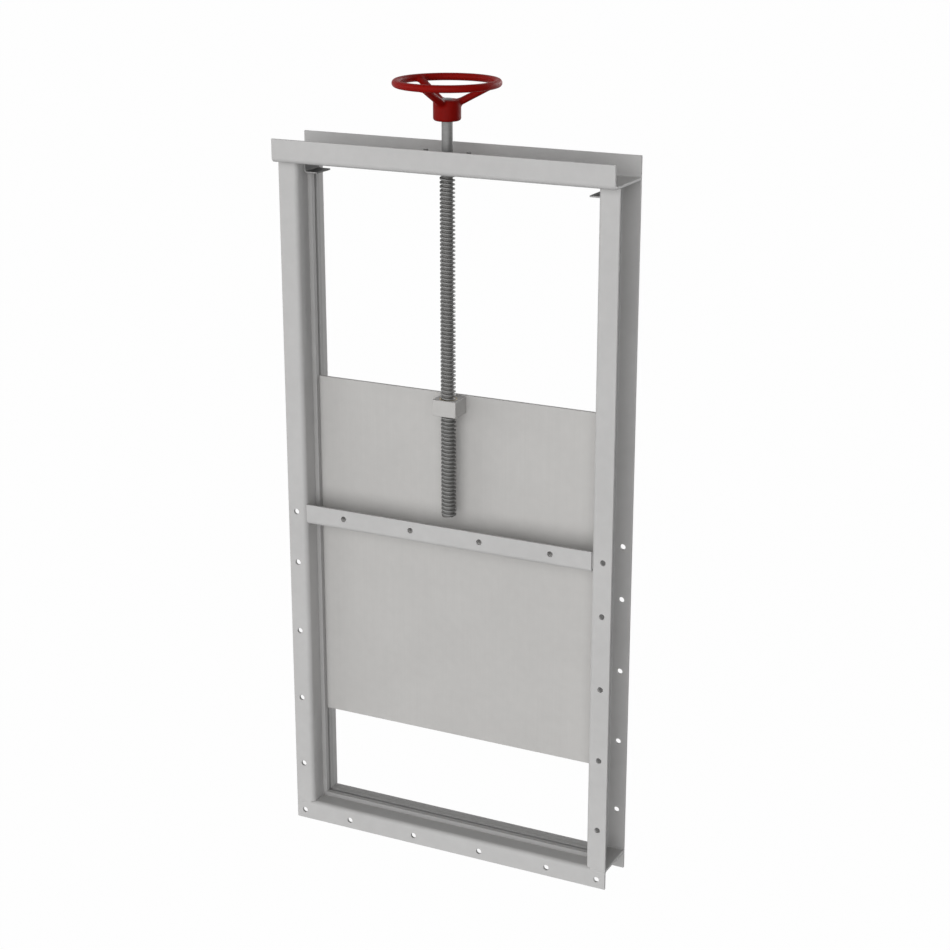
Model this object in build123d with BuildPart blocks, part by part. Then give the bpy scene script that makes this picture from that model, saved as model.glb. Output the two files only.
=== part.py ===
from build123d import *
import math
import os

# Isolation damper for a square duct: a plate blade that slides in guides between two
# folded channels, raised by a screw spindle with a handwheel.
# Millimetres. +Z is up and the spindle stands in front of the blade, on the -Y side.
# The origin lies on the outer face of the rear duct flange, in the middle of its lowest
# row of bolt holes.

os.makedirs("parts", exist_ok=True)

# The clear duct opening and the folded channel section of the frame
opening_width = 600.0
opening_height = 600.0
section_depth = 100.0
flange_width = 40.0
plate_thickness = 5.0
bend_radius = 4.0
post_length = 1304.5

# The top channel, which reaches out in front to carry the spindle
top_flange_height = 43.0
top_front_overhang = 22.5

# Bolt holes of the duct flanges, six along each side of a square
bolts_per_side = 6
bolt_hole_diameter = 11.0
bolt_edge_distance = 17.5
bolt_end_pitch = 105.0

# The angles that close the duct opening at its top, front and rear
cross_angle_height = 40.0
cross_angle_leg = 35.0

# Guide bars in pairs, with the blade's slot between them
guide_bar_width = 10.0
guide_bar_height = 9.0
slot_width = 8.0

# Stop plates on top of the guides, folded from thin sheet
stop_plate_leg = 27.0
stop_plate_height = 23.5
stop_plate_depth = 50.0
stop_plate_thickness = 3.0
stop_bend_radius = 3.0

# The blade, drawn partly open as in use
blade_height = 695.0
blade_thickness = 6.0
blade_edge_clearance = 2.5
blade_seat_clearance = 1.0
blade_lift = 192.5

# The screw spindle
spindle_from_mid_plane = 30.0
screw_diameter = 28.0
shaft_diameter = 20.0
screw_end_above_angle = 17.5
spindle_end_chamfer = 1.5
shaft_end_above_hub = 2.0
running_clearance = 0.1

# The block on the blade and the bronze nut in it
nut_block_width = 48.0
nut_block_height = 31.0
nut_block_depth = 46.0
nut_block_drop = 2.0
nut_diameter = 34.0
block_screw_diameter = 8.0
block_screw_hole_diameter = 9.0
block_screw_edge = 7.0
block_screw_depth = 12.0

# The thrust housing on the top channel, with a collar turning inside it
housing_width = 120.0
housing_depth = 46.0
housing_height = 14.0
housing_lid_thickness = 5.5
housing_bolt_spacing = 86.0
collar_diameter = 34.0
collar_side_clearance = 1.5
collar_end_clearance = 0.5
thrust_washer_diameter = 40.0
thrust_washer_thickness = 3.0

# The handwheel, a casting with a dished rim, keyed to the shaft
wheel_diameter = 195.0
rim_thickness = 13.5
rim_above_hub_base = 66.0
hub_diameter = 50.0
hub_height = 37.0
hub_above_channel = 49.0
hub_fillet = 5.0
spoke_count = 3
first_spoke_angle = 30.0
spoke_root_width = 18.0
spoke_root_thickness = 13.0
spoke_rim_width = 15.5
spoke_rim_thickness = 11.0
key_width = 6.0
key_length = 30.0
key_depth_in_shaft = 3.5

# Places worked out from the sizes above
outer_bend_radius = bend_radius + plate_thickness
half_opening = opening_width / 2
outer_half_width = half_opening + flange_width
sill_top = flange_width - bolt_edge_distance
opening_top = sill_top + opening_height
posts_top = sill_top + post_length
mid_plane = -section_depth / 2
bolts_across = opening_width + 2 * (flange_width - bolt_edge_distance)
bolts_up = opening_top + cross_angle_height - bolt_edge_distance
stop_plate_bottom = posts_top - stop_plate_height
blade_bottom = sill_top + blade_seat_clearance + blade_lift
blade_top = blade_bottom + blade_height
blade_front = mid_plane - blade_thickness / 2
blade_width = opening_width - 2 * blade_edge_clearance
nut_block_top = blade_top - nut_block_drop
spindle_y = mid_plane - spindle_from_mid_plane
top_web_top = posts_top + plate_thickness
hub_base = posts_top + top_flange_height + hub_above_channel
rim_centre = hub_base + rim_above_hub_base
rim_radius = (wheel_diameter - rim_thickness) / 2
shaft_top = hub_base + hub_height + shaft_end_above_hub
screw_bottom = opening_top + cross_angle_height + screw_end_above_angle
screw_top = posts_top - thrust_washer_thickness - collar_end_clearance


def channel_section(depth, flange):
    """A folded channel: its web stands on the Y axis and its flanges point along -X."""
    with BuildSketch() as section:
        with BuildLine():
            Polyline(
                (-flange, 0),
                (0, 0),
                (0, depth),
                (-flange, depth),
                (-flange, depth - plate_thickness),
                (-plate_thickness, depth - plate_thickness),
                (-plate_thickness, plate_thickness),
                (-flange, plate_thickness),
                close=True,
            )
        make_face()
        on_web = section.vertices().filter_by_position(Axis.X, -plate_thickness, 0)
        fillet(on_web.filter_by_position(Axis.X, 0, 0), outer_bend_radius)
        inner = section.vertices().filter_by_position(Axis.X, -plate_thickness, -plate_thickness)
        fillet(inner, bend_radius)
    return section.sketch


def angle_section(upright, leg, thickness, bend):
    """A folded angle: its upright stands on the origin and its leg points along +X."""
    with BuildSketch() as section:
        with BuildLine():
            Polyline(
                (0, 0),
                (leg, 0),
                (leg, thickness),
                (thickness, thickness),
                (thickness, upright),
                (0, upright),
                close=True,
            )
        make_face()
        corner = section.vertices().filter_by_position(Axis.X, 0, 0)
        fillet(corner.sort_by(Axis.Y)[0], bend + thickness)
        inner = section.vertices().filter_by_position(Axis.X, thickness, thickness)
        fillet(inner.sort_by(Axis.Y)[0], bend)
    return section.sketch


def bolt_line(length):
    """Places of the bolts along one side, from corner to corner, closer at both ends."""
    pitch = (length - 2 * bolt_end_pitch) / (bolts_per_side - 3)
    inner = [bolt_end_pitch + step * pitch for step in range(bolts_per_side - 2)]
    return [0, *inner, length]


def bolt_points(columns, rows):
    """Bolt hole centres on a vertical plane, each given across and up."""
    return [(across, up) for across in columns for up in rows]


def save(part, name):
    """Label a finished piece and write it under its own name."""
    part.label = name
    export_step(part, f"parts/{name}.step")


# The vertical plane through the middle of the frame, seen from the front
front_view = Plane((0, mid_plane, 0), x_dir=(1, 0, 0), z_dir=(0, -1, 0))

# The flanges' bolt holes: columns across from the middle, rows up from the lowest one
bolt_columns = [place - bolts_across / 2 for place in bolt_line(bolts_across)]
bolt_rows = bolt_line(bolts_up)

# Left post: a channel standing on the sill, its web towards the opening
with BuildPart() as left_post:
    with BuildSketch(Plane((-half_opening, -section_depth, sill_top))):
        add(channel_section(section_depth, flange_width))
    extrude(amount=post_length)
    with BuildSketch(front_view):
        with Locations(*bolt_points(bolt_columns[:1], bolt_rows[1:])):
            Circle(bolt_hole_diameter / 2)
    extrude(amount=section_depth, both=True, mode=Mode.SUBTRACT)
save(left_post.part, "left_post")

# Right post: the same channel, mirrored
with BuildPart() as right_post:
    add(mirror(left_post.part, about=Plane.YZ))
save(right_post.part, "right_post")

# Bottom channel: the sill of the opening, open downwards, as wide as the whole frame
with BuildPart() as bottom_channel:
    sill_plane = Plane((-outer_half_width, -section_depth, sill_top), x_dir=(0, 0, 1), z_dir=(1, 0, 0))
    with BuildSketch(sill_plane):
        add(mirror(channel_section(section_depth, flange_width), about=Plane.XZ))
    extrude(amount=2 * outer_half_width)
    with BuildSketch(front_view):
        with Locations(*bolt_points(bolt_columns, bolt_rows[:1])):
            Circle(bolt_hole_diameter / 2)
    extrude(amount=section_depth, both=True, mode=Mode.SUBTRACT)
save(bottom_channel.part, "bottom_channel")

# Top channel: open upwards, deeper to the front, bored for the spindle and its housing bolts
with BuildPart() as top_channel:
    top_depth = section_depth + top_front_overhang
    top_plane = Plane((-outer_half_width, 0, posts_top), x_dir=(0, 0, -1), z_dir=(1, 0, 0))
    with BuildSketch(top_plane):
        add(mirror(channel_section(top_depth, top_flange_height), about=Plane.XZ))
    extrude(amount=2 * outer_half_width)
    with Locations((0, spindle_y, top_web_top)):
        Hole(shaft_diameter / 2 + collar_end_clearance, depth=2 * plate_thickness)
        with GridLocations(housing_bolt_spacing, 0, 2, 1):
            Hole(bolt_hole_diameter / 2, depth=2 * plate_thickness)
save(top_channel.part, "top_channel")

# Front cross angle: its upright is flush with the posts and its leg points to the blade
with BuildPart() as front_cross_angle:
    angle_plane = Plane((-half_opening, -section_depth, opening_top), x_dir=(0, 1, 0), z_dir=(1, 0, 0))
    with BuildSketch(angle_plane):
        add(angle_section(cross_angle_height, cross_angle_leg, plate_thickness, bend_radius))
    extrude(amount=opening_width)
    with BuildSketch(front_view):
        with Locations(*bolt_points(bolt_columns[1:-1], bolt_rows[-1:])):
            Circle(bolt_hole_diameter / 2)
    extrude(amount=section_depth, both=True, mode=Mode.SUBTRACT)
save(front_cross_angle.part, "front_cross_angle")

# Rear cross angle: the same, mirrored about the middle of the frame
with BuildPart() as rear_cross_angle:
    add(mirror(front_cross_angle.part, about=front_view))
save(rear_cross_angle.part, "rear_cross_angle")


def guide_bar(side, face):
    """A square bar up a post web beside the slot, its foot mitred to meet the sill bar."""
    slot_edge = mid_plane + face * slot_width / 2
    outer_edge = slot_edge + face * guide_bar_width
    with BuildPart() as bar:
        with BuildSketch(Plane.XZ.offset(-min(slot_edge, outer_edge))):
            with BuildLine():
                Polyline(
                    (side * half_opening, sill_top),
                    (side * half_opening, stop_plate_bottom),
                    (side * (half_opening - guide_bar_height), stop_plate_bottom),
                    (side * (half_opening - guide_bar_height), sill_top + guide_bar_height),
                    close=True,
                )
            make_face()
        extrude(amount=-guide_bar_width)
    return bar.part


def sill_bar(face):
    """A square bar along the sill beside the slot, both ends mitred to the side bars."""
    slot_edge = mid_plane + face * slot_width / 2
    outer_edge = slot_edge + face * guide_bar_width
    with BuildPart() as bar:
        with BuildSketch(Plane.XZ.offset(-min(slot_edge, outer_edge))):
            with BuildLine():
                Polyline(
                    (-half_opening, sill_top),
                    (half_opening, sill_top),
                    (half_opening - guide_bar_height, sill_top + guide_bar_height),
                    (guide_bar_height - half_opening, sill_top + guide_bar_height),
                    close=True,
                )
            make_face()
        extrude(amount=-guide_bar_width)
    return bar.part


# The guide bars, in front of the blade and behind it
for side_name, side in (("left", -1), ("right", 1)):
    for face_name, face in (("front", -1), ("rear", 1)):
        save(guide_bar(side, face), f"{side_name}_{face_name}_guide")
save(sill_bar(-1), "front_sill_bar")
save(sill_bar(1), "rear_sill_bar")

# Stop plates: small folded angles under the top channel, whose leg closes the top of each
# pair of guide bars and stops the blade there
with BuildPart() as left_stop_plate:
    stop_foot = (-half_opening, mid_plane + stop_plate_depth / 2, stop_plate_bottom)
    with BuildSketch(Plane(stop_foot, x_dir=(1, 0, 0), z_dir=(0, -1, 0))):
        add(angle_section(stop_plate_height, stop_plate_leg, stop_plate_thickness, stop_bend_radius))
    extrude(amount=stop_plate_depth)
save(left_stop_plate.part, "left_stop_plate")
with BuildPart() as right_stop_plate:
    add(mirror(left_stop_plate.part, about=Plane.YZ))
save(right_stop_plate.part, "right_stop_plate")

# Thrust housing: a plate bolted on the top channel, recessed from below for the collar
with BuildPart() as thrust_housing:
    with BuildSketch(Plane.XY.offset(top_web_top)):
        with Locations((0, spindle_y)):
            SlotOverall(housing_width, housing_depth)
    extrude(amount=housing_height)
    with Locations((0, spindle_y, top_web_top + housing_height)):
        Hole(shaft_diameter / 2 + running_clearance, depth=housing_height)
        with GridLocations(housing_bolt_spacing, 0, 2, 1):
            Hole(bolt_hole_diameter / 2, depth=housing_height)
    with BuildSketch(Plane.XY.offset(top_web_top)):
        with Locations((0, spindle_y)):
            Circle(collar_diameter / 2 + collar_side_clearance)
    extrude(amount=housing_height - housing_lid_thickness, mode=Mode.SUBTRACT)
    top_rim = thrust_housing.faces().sort_by(Axis.Z)[-1].outer_wire().edges()
    chamfer(top_rim, 1.0)
save(thrust_housing.part, "thrust_housing")

# Thrust washer under the top channel, above the shoulder of the screw
with BuildPart() as thrust_washer:
    with BuildSketch(Plane.XY.offset(posts_top - thrust_washer_thickness)):
        with Locations((0, spindle_y)):
            Circle(thrust_washer_diameter / 2)
            Circle(shaft_diameter / 2 + running_clearance, mode=Mode.SUBTRACT)
    extrude(amount=thrust_washer_thickness)
save(thrust_washer.part, "thrust_washer")

# Thrust collar on the shaft, inside the housing
with BuildPart() as thrust_collar:
    collar_height = housing_height - housing_lid_thickness - 2 * collar_end_clearance
    with BuildSketch(Plane.XY.offset(top_web_top + collar_end_clearance)):
        with Locations((0, spindle_y)):
            Circle(collar_diameter / 2)
            Circle(shaft_diameter / 2, mode=Mode.SUBTRACT)
    extrude(amount=collar_height)
save(thrust_collar.part, "thrust_collar")

# The plane of the key, beside the shaft on its rear side and level with the hub
key_bottom = hub_base + hub_height - key_length
key_inner = shaft_diameter / 2 - key_depth_in_shaft

# Spindle: one turned bar, the screw below and the smooth shaft above
with BuildPart() as spindle:
    with BuildSketch(Plane((0, spindle_y, 0), x_dir=(1, 0, 0), z_dir=(0, -1, 0))):
        with BuildLine():
            Polyline(
                (0, screw_bottom),
                (screw_diameter / 2 - spindle_end_chamfer, screw_bottom),
                (screw_diameter / 2, screw_bottom + spindle_end_chamfer),
                (screw_diameter / 2, screw_top),
                (shaft_diameter / 2, screw_top),
                (shaft_diameter / 2, shaft_top - spindle_end_chamfer),
                (shaft_diameter / 2 - spindle_end_chamfer, shaft_top),
                (0, shaft_top),
                close=True,
            )
        make_face()
    revolve(axis=Axis((0, spindle_y, 0), (0, 0, 1)))
    with BuildSketch(Plane.XY.offset(key_bottom)):
        with Locations((0, spindle_y + key_inner)):
            Rectangle(key_width, shaft_diameter, align=(Align.CENTER, Align.MIN))
    extrude(amount=key_length, mode=Mode.SUBTRACT)
save(spindle.part, "spindle")

# Key between the shaft and the handwheel
with BuildPart() as wheel_key:
    with BuildSketch(Plane.XY.offset(key_bottom)):
        with Locations((0, spindle_y + key_inner)):
            Rectangle(key_width, key_width, align=(Align.CENTER, Align.MIN))
    extrude(amount=key_length)
save(wheel_key.part, "wheel_key")

# Handwheel: a hub, a round rim above it and three tapered oval spokes that rise to the rim
with BuildPart() as handwheel:
    with BuildSketch(Plane.XY.offset(hub_base)):
        with Locations((0, spindle_y)):
            Circle(hub_diameter / 2)
    extrude(amount=hub_height)
    fillet(handwheel.edges().filter_by(GeomType.CIRCLE), hub_fillet)
    with BuildSketch(Plane((0, spindle_y, 0), x_dir=(1, 0, 0), z_dir=(0, -1, 0))):
        with Locations((rim_radius, rim_centre)):
            Circle(rim_thickness / 2)
    revolve(axis=Axis((0, spindle_y, 0), (0, 0, 1)))
    root_radius = (hub_diameter - spoke_root_thickness) / 2
    root_height = hub_base + hub_height - spoke_root_thickness / 2
    for spoke in range(spoke_count):
        angle = math.radians(first_spoke_angle + spoke * 360 / spoke_count)
        out = Vector(math.cos(angle), math.sin(angle), 0)
        across = Vector(-math.sin(angle), math.cos(angle), 0)
        axis_foot = Vector(0, spindle_y, 0)
        root = axis_foot + out * root_radius + Vector(0, 0, root_height)
        tip = axis_foot + out * rim_radius + Vector(0, 0, rim_centre)
        with BuildSketch(Plane(root, x_dir=across, z_dir=tip - root)):
            Ellipse(spoke_root_width / 2, spoke_root_thickness / 2)
        with BuildSketch(Plane(tip, x_dir=across, z_dir=tip - root)):
            Ellipse(spoke_rim_width / 2, spoke_rim_thickness / 2)
        loft()
    with Locations((0, spindle_y, hub_base + hub_height)):
        Hole(shaft_diameter / 2, depth=hub_height)
    with BuildSketch(Plane.XY.offset(key_bottom)):
        with Locations((0, spindle_y)):
            Rectangle(key_width, key_inner + key_width, align=(Align.CENTER, Align.MIN))
    extrude(amount=key_length, mode=Mode.SUBTRACT)
save(handwheel.part, "handwheel")

# The four screws that hold the nut block, put in from the rear of the blade
screw_across = nut_block_width / 2 - block_screw_edge
screw_rows = (nut_block_top - nut_block_height + block_screw_edge, nut_block_top - block_screw_edge)
block_screws = bolt_points((-screw_across, screw_across), screw_rows)

# Blade: a plain plate that runs in the slots of the guides
with BuildPart() as blade:
    with BuildSketch(Plane.XZ.offset(-blade_front)):
        with Locations((0, blade_bottom)):
            Rectangle(blade_width, blade_height, align=(Align.CENTER, Align.MIN))
    extrude(amount=-blade_thickness)
    with BuildSketch(Plane.XZ.offset(-blade_front)):
        with Locations(*block_screws):
            Circle(block_screw_hole_diameter / 2)
    extrude(amount=-blade_thickness, mode=Mode.SUBTRACT)
save(blade.part, "blade")

# Nut block: it stands on the front of the blade, just below the blade's top edge
with BuildPart() as nut_block:
    with BuildSketch(Plane.XY.offset(nut_block_top - nut_block_height)):
        with Locations((0, blade_front)):
            Rectangle(nut_block_width, nut_block_depth, align=(Align.CENTER, Align.MAX))
        with Locations((0, spindle_y)):
            Circle(nut_diameter / 2, mode=Mode.SUBTRACT)
    extrude(amount=nut_block_height)
    with BuildSketch(Plane.XZ.offset(-blade_front)):
        with Locations(*block_screws):
            Circle(block_screw_diameter / 2)
    extrude(amount=block_screw_depth, mode=Mode.SUBTRACT)
save(nut_block.part, "nut_block")

# Spindle nut: a bronze bush in the block, with running clearance on the screw
with BuildPart() as spindle_nut:
    with BuildSketch(Plane.XY.offset(nut_block_top - nut_block_height)):
        with Locations((0, spindle_y)):
            Circle(nut_diameter / 2)
            Circle(screw_diameter / 2 + running_clearance, mode=Mode.SUBTRACT)
    extrude(amount=nut_block_height)
save(spindle_nut.part, "spindle_nut")
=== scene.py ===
"""Isolation damper: a slide gate with a screw spindle and a handwheel, dressed for rendering.

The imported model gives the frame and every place. Each visible piece is a surface worked out as whole
arrays, and it stands where its CAD node is. Lengths are metres, +Z is up, and the spindle stands on the
-Y side of the blade.
"""

import math
from typing import NamedTuple

import bmesh
import bpy
import numpy as np
from bpy.props import FloatProperty, FloatVectorProperty, IntProperty, PointerProperty
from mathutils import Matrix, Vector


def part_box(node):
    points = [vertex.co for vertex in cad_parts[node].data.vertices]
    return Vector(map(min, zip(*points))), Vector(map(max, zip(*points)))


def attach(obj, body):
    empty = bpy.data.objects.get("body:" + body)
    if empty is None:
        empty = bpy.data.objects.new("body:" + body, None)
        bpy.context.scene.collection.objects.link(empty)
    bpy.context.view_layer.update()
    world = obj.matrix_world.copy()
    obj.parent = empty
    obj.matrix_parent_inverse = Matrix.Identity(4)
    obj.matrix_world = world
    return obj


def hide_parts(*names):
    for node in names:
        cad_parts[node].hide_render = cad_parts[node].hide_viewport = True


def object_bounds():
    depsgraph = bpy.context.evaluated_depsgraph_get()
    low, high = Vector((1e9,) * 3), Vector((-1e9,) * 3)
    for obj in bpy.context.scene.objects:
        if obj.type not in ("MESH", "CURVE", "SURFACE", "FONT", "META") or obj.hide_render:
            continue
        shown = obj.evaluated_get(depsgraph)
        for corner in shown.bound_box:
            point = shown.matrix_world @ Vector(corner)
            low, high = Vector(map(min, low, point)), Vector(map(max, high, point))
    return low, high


bl_info = {
    "name": "Isolation Damper",
    "version": (1, 0, 0),
    "blender": (4, 5, 0),
    "location": "3D View > Sidebar > Damper",
    "description": "Finishes a slide gate damper with a screw spindle round its packed model",
    "category": "Add Mesh",
}

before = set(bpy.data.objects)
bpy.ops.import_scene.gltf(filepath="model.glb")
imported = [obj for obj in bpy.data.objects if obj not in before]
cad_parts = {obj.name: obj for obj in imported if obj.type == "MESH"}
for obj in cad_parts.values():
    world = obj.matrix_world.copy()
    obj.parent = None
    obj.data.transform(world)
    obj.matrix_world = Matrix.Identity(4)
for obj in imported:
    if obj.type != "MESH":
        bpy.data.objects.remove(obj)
cad_box = [list(corner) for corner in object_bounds()]

MM = 0.001
UP = np.array([0.0, 0.0, 1.0])
RIGHT = np.array([1.0, 0.0, 0.0])
BACK = np.array([0.0, 1.0, 0.0])
SAME_POINT = 0.001 * MM


class DamperSheets(bpy.types.PropertyGroup):
    """Sizes of the folded sheets and of their holes."""

    thickness: FloatProperty(
        name="Sheet thickness", description="Thickness of the folded frame", default=5 * MM, unit="LENGTH"
    )
    bend_radius: FloatProperty(
        name="Bend radius", description="Inner radius of each fold", default=4 * MM, unit="LENGTH"
    )
    stop_thickness: FloatProperty(
        name="Stop thickness", description="Thickness of the stop plates", default=3 * MM, unit="LENGTH"
    )
    stop_bend: FloatProperty(
        name="Stop bend radius", description="Inner radius of the stop plates' fold", default=3 * MM,
        unit="LENGTH",
    )
    edge_radius: FloatProperty(
        name="Edge radius", description="Radius that takes the sharpness off cut edges", default=0.5 * MM,
        unit="LENGTH",
    )
    bolt_hole: FloatProperty(
        name="Bolt hole", description="Diameter of the flange bolt holes", default=11 * MM, unit="LENGTH"
    )
    bolt_edge: FloatProperty(
        name="Bolt edge distance", description="From a flange's free edge to its bolt holes",
        default=17.5 * MM, unit="LENGTH",
    )
    end_pitch: FloatProperty(
        name="End pitch", description="From a corner hole to the next one", default=105 * MM, unit="LENGTH"
    )
    bolts_per_side: IntProperty(
        name="Bolts per side", description="Holes along each side of the flange", default=6, min=4
    )


class DamperScrew(bpy.types.PropertyGroup):
    """Sizes of the screw thread on the spindle."""

    pitch: FloatProperty(
        name="Pitch", description="Rise of the blade for each turn", default=7.5 * MM, unit="LENGTH"
    )
    crest: FloatProperty(
        name="Crest diameter", description="Outer diameter of the thread", default=28 * MM, unit="LENGTH"
    )
    root: FloatProperty(
        name="Root diameter", description="Diameter at the bottom of the thread", default=19.8 * MM,
        unit="LENGTH",
    )
    crest_width: FloatProperty(
        name="Crest width", description="Width of the thread's top", default=2.7 * MM, unit="LENGTH"
    )
    flank_angle: FloatProperty(
        name="Flank angle", description="Slope of each flank", default=math.radians(15), subtype="ANGLE"
    )


class DamperWheel(bpy.types.PropertyGroup):
    """Sizes of the cast handwheel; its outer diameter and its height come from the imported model."""

    rim_thickness: FloatProperty(
        name="Rim thickness", description="Diameter of the round rim", default=13.5 * MM, unit="LENGTH"
    )
    hub_diameter: FloatProperty(
        name="Hub diameter", description="Outer diameter of the hub", default=50 * MM, unit="LENGTH"
    )
    hub_height: FloatProperty(
        name="Hub height", description="From the hub's foot to its top", default=37 * MM, unit="LENGTH"
    )
    hub_fillet: FloatProperty(
        name="Hub fillet", description="Radius round the hub's two ends", default=5 * MM, unit="LENGTH"
    )
    spoke_count: IntProperty(name="Spokes", description="Number of spokes", default=3, min=2)
    first_spoke: FloatProperty(
        name="First spoke", description="Angle of the first spoke from the right", default=math.radians(30),
        subtype="ANGLE",
    )
    root_width: FloatProperty(
        name="Root width", description="Level width of a spoke at the hub", default=18 * MM, unit="LENGTH"
    )
    root_thickness: FloatProperty(
        name="Root thickness", description="Thickness of a spoke at the hub", default=13 * MM, unit="LENGTH"
    )
    tip_width: FloatProperty(
        name="Tip width", description="Level width of a spoke at the rim", default=15.5 * MM, unit="LENGTH"
    )
    tip_thickness: FloatProperty(
        name="Tip thickness", description="Thickness of a spoke at the rim", default=11 * MM, unit="LENGTH"
    )
    blend: FloatProperty(
        name="Blend", description="Reach of the casting's fillets where pieces meet", default=4.5 * MM,
        unit="LENGTH",
    )


class DamperColours(bpy.types.PropertyGroup):
    """Colours of the finishes."""

    frame_paint: FloatVectorProperty(
        name="Frame paint", description="Paint of the folded frame", subtype="COLOR",
        default=(0.50, 0.496, 0.492), min=0, max=1,
    )
    # Painted shade: the guide and sill bars get the frame paint at four fifths of its tone, for the shade
    # that falls on them in the channels.
    bar_shaded_paint: FloatVectorProperty(
        name="Bar paint", description="Thinner coat on the guide and sill bars", subtype="COLOR",
        default=(0.40, 0.396, 0.392), min=0, max=1,
    )
    blade_paint: FloatVectorProperty(
        name="Blade", description="Finish of the blade and its block", subtype="COLOR",
        default=(0.492, 0.484, 0.473), min=0, max=1,
    )
    screw_steel: FloatVectorProperty(
        name="Screw steel", description="Turned steel of the spindle", subtype="COLOR",
        default=(0.20, 0.20, 0.197), min=0, max=1,
    )
    thread_grease: FloatVectorProperty(
        name="Thread grease", description="Grease in the bottom of the thread", subtype="COLOR",
        default=(0.15, 0.147, 0.142), min=0, max=1,
    )
    wheel_enamel: FloatVectorProperty(
        name="Handwheel enamel", description="Red enamel of the handwheel", subtype="COLOR",
        default=(0.245, 0.0035, 0.0015), min=0, max=1,
    )
    bronze: FloatVectorProperty(
        name="Bronze", description="Nut of the spindle", subtype="COLOR", default=(0.30, 0.235, 0.15),
        min=0, max=1,
    )
    zinc: FloatVectorProperty(
        name="Zinc plate", description="Bolts, nuts and washers", subtype="COLOR",
        default=(0.34, 0.34, 0.33), min=0, max=1,
    )


class DamperStudio(bpy.types.PropertyGroup):
    """Light and camera of the studio."""

    sky: FloatProperty(name="Sky", description="Strength of the even light all round", default=0.15, min=0)
    key: FloatProperty(
        name="Key", description="Strength of the soft light from the front", default=2.3, min=0
    )
    key_turn: FloatProperty(
        name="Key turn", description="How far the key stands to the right of the front",
        default=math.radians(6), subtype="ANGLE",
    )
    key_height: FloatProperty(
        name="Key height", description="How high the three lights stand above the horizon",
        default=math.radians(4), subtype="ANGLE",
    )
    key_spread: FloatProperty(
        name="Key spread", description="How wide the key looks", default=math.radians(80), subtype="ANGLE"
    )
    rear: FloatProperty(
        name="Rear", description="Strength of the soft light from behind", default=1.6, min=0
    )
    rear_turn: FloatProperty(
        name="Rear turn", description="How far the rear light stands round to the right from the front",
        default=math.radians(166), subtype="ANGLE",
    )
    left: FloatProperty(
        name="Left", description="Strength of the soft light from the left", default=0.8, min=0
    )
    left_turn: FloatProperty(
        name="Left turn", description="How far the left light stands round from the front",
        default=math.radians(62), subtype="ANGLE",
    )
    fill_spread: FloatProperty(
        name="Fill spread", description="How wide the two weaker lights look", default=math.radians(40),
        subtype="ANGLE",
    )
    camera_place: FloatVectorProperty(
        name="Camera", description="Where the camera stands", default=(1.61147, -3.23093, 1.91522),
        subtype="TRANSLATION",
    )
    azimuth: FloatProperty(
        name="Azimuth", description="How far the camera looks to the left", default=math.radians(26.29),
        subtype="ANGLE",
    )
    elevation: FloatProperty(
        name="Elevation", description="How far the camera looks down", default=math.radians(18.07),
        subtype="ANGLE",
    )
    lens: FloatProperty(name="Lens", description="Focal length in millimetres", default=75.517, min=1)


# Node trees


def node(tree, kind, inputs=None, **settings):
    """Adds one node. inputs names its sockets, and each gets a value or another node's output."""
    made = tree.nodes.new(kind)
    for name, value in settings.items():
        setattr(made, name, value)
    for name, value in (inputs or {}).items():
        if isinstance(value, bpy.types.NodeSocket):
            tree.links.new(value, made.inputs[name])
        else:
            made.inputs[name].default_value = value
    return made


def maths(tree, operation, *values, clamp=False):
    """One Math node's output."""
    made = node(tree, "ShaderNodeMath", dict(enumerate(values)), operation=operation, use_clamp=clamp)
    return made.outputs["Value"]


def remap(tree, value, low, high, to_low, to_high):
    """The value carried from one range to another, and held at its ends."""
    made = node(
        tree, "ShaderNodeMapRange",
        {"Value": value, "From Min": low, "From Max": high, "To Min": to_low, "To Max": to_high},
    )
    return made.outputs["Result"]


def mix_colour(tree, share, first, second):
    """The first colour, turning into the second as the share goes from 0 to 1."""
    made = node(tree, "ShaderNodeMix", data_type="RGBA")
    for index, value in ((0, share), (6, first), (7, second)):
        if isinstance(value, bpy.types.NodeSocket):
            tree.links.new(value, made.inputs[index])
        else:
            made.inputs[index].default_value = value
    return made.outputs[2]


def noise(tree, place, scale, detail=3.0, roughness=0.5):
    """A noise value about 0.5."""
    made = node(
        tree, "ShaderNodeTexNoise",
        {"Vector": place, "Scale": scale, "Detail": detail, "Roughness": roughness},
    )
    return made.outputs["Fac"]


def new_group(name, inputs, outputs):
    """An empty node group with number inputs and outputs, with the two nodes that stand for them."""
    tree = bpy.data.node_groups.new(name, "ShaderNodeTree")
    for socket, default in inputs.items():
        made = tree.interface.new_socket(socket, in_out="INPUT", socket_type="NodeSocketFloat")
        made.default_value = default
    for socket in outputs:
        tree.interface.new_socket(socket, in_out="OUTPUT", socket_type="NodeSocketFloat")
    return tree, tree.nodes.new("NodeGroupInput"), tree.nodes.new("NodeGroupOutput")


def object_place(tree):
    """The place on the piece, in metres."""
    return node(tree, "ShaderNodeTexCoord").outputs["Object"]


def mottle_group():
    """Broad and fine unevenness of a finish: a broad noise and a noise eight times finer, added."""
    tree, given, made = new_group("Uneven finish", {"Scale": 9.0}, ["Mask"])
    place = object_place(tree)
    broad = noise(tree, place, given.outputs["Scale"])
    fine = noise(tree, place, maths(tree, "MULTIPLY", given.outputs["Scale"], 8.0), detail=5.0)
    both = maths(tree, "ADD", maths(tree, "MULTIPLY", broad, 0.6), maths(tree, "MULTIPLY", fine, 0.4))
    tree.links.new(remap(tree, both, 0.35, 0.65, 0.0, 1.0), made.inputs["Mask"])
    return tree


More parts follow.
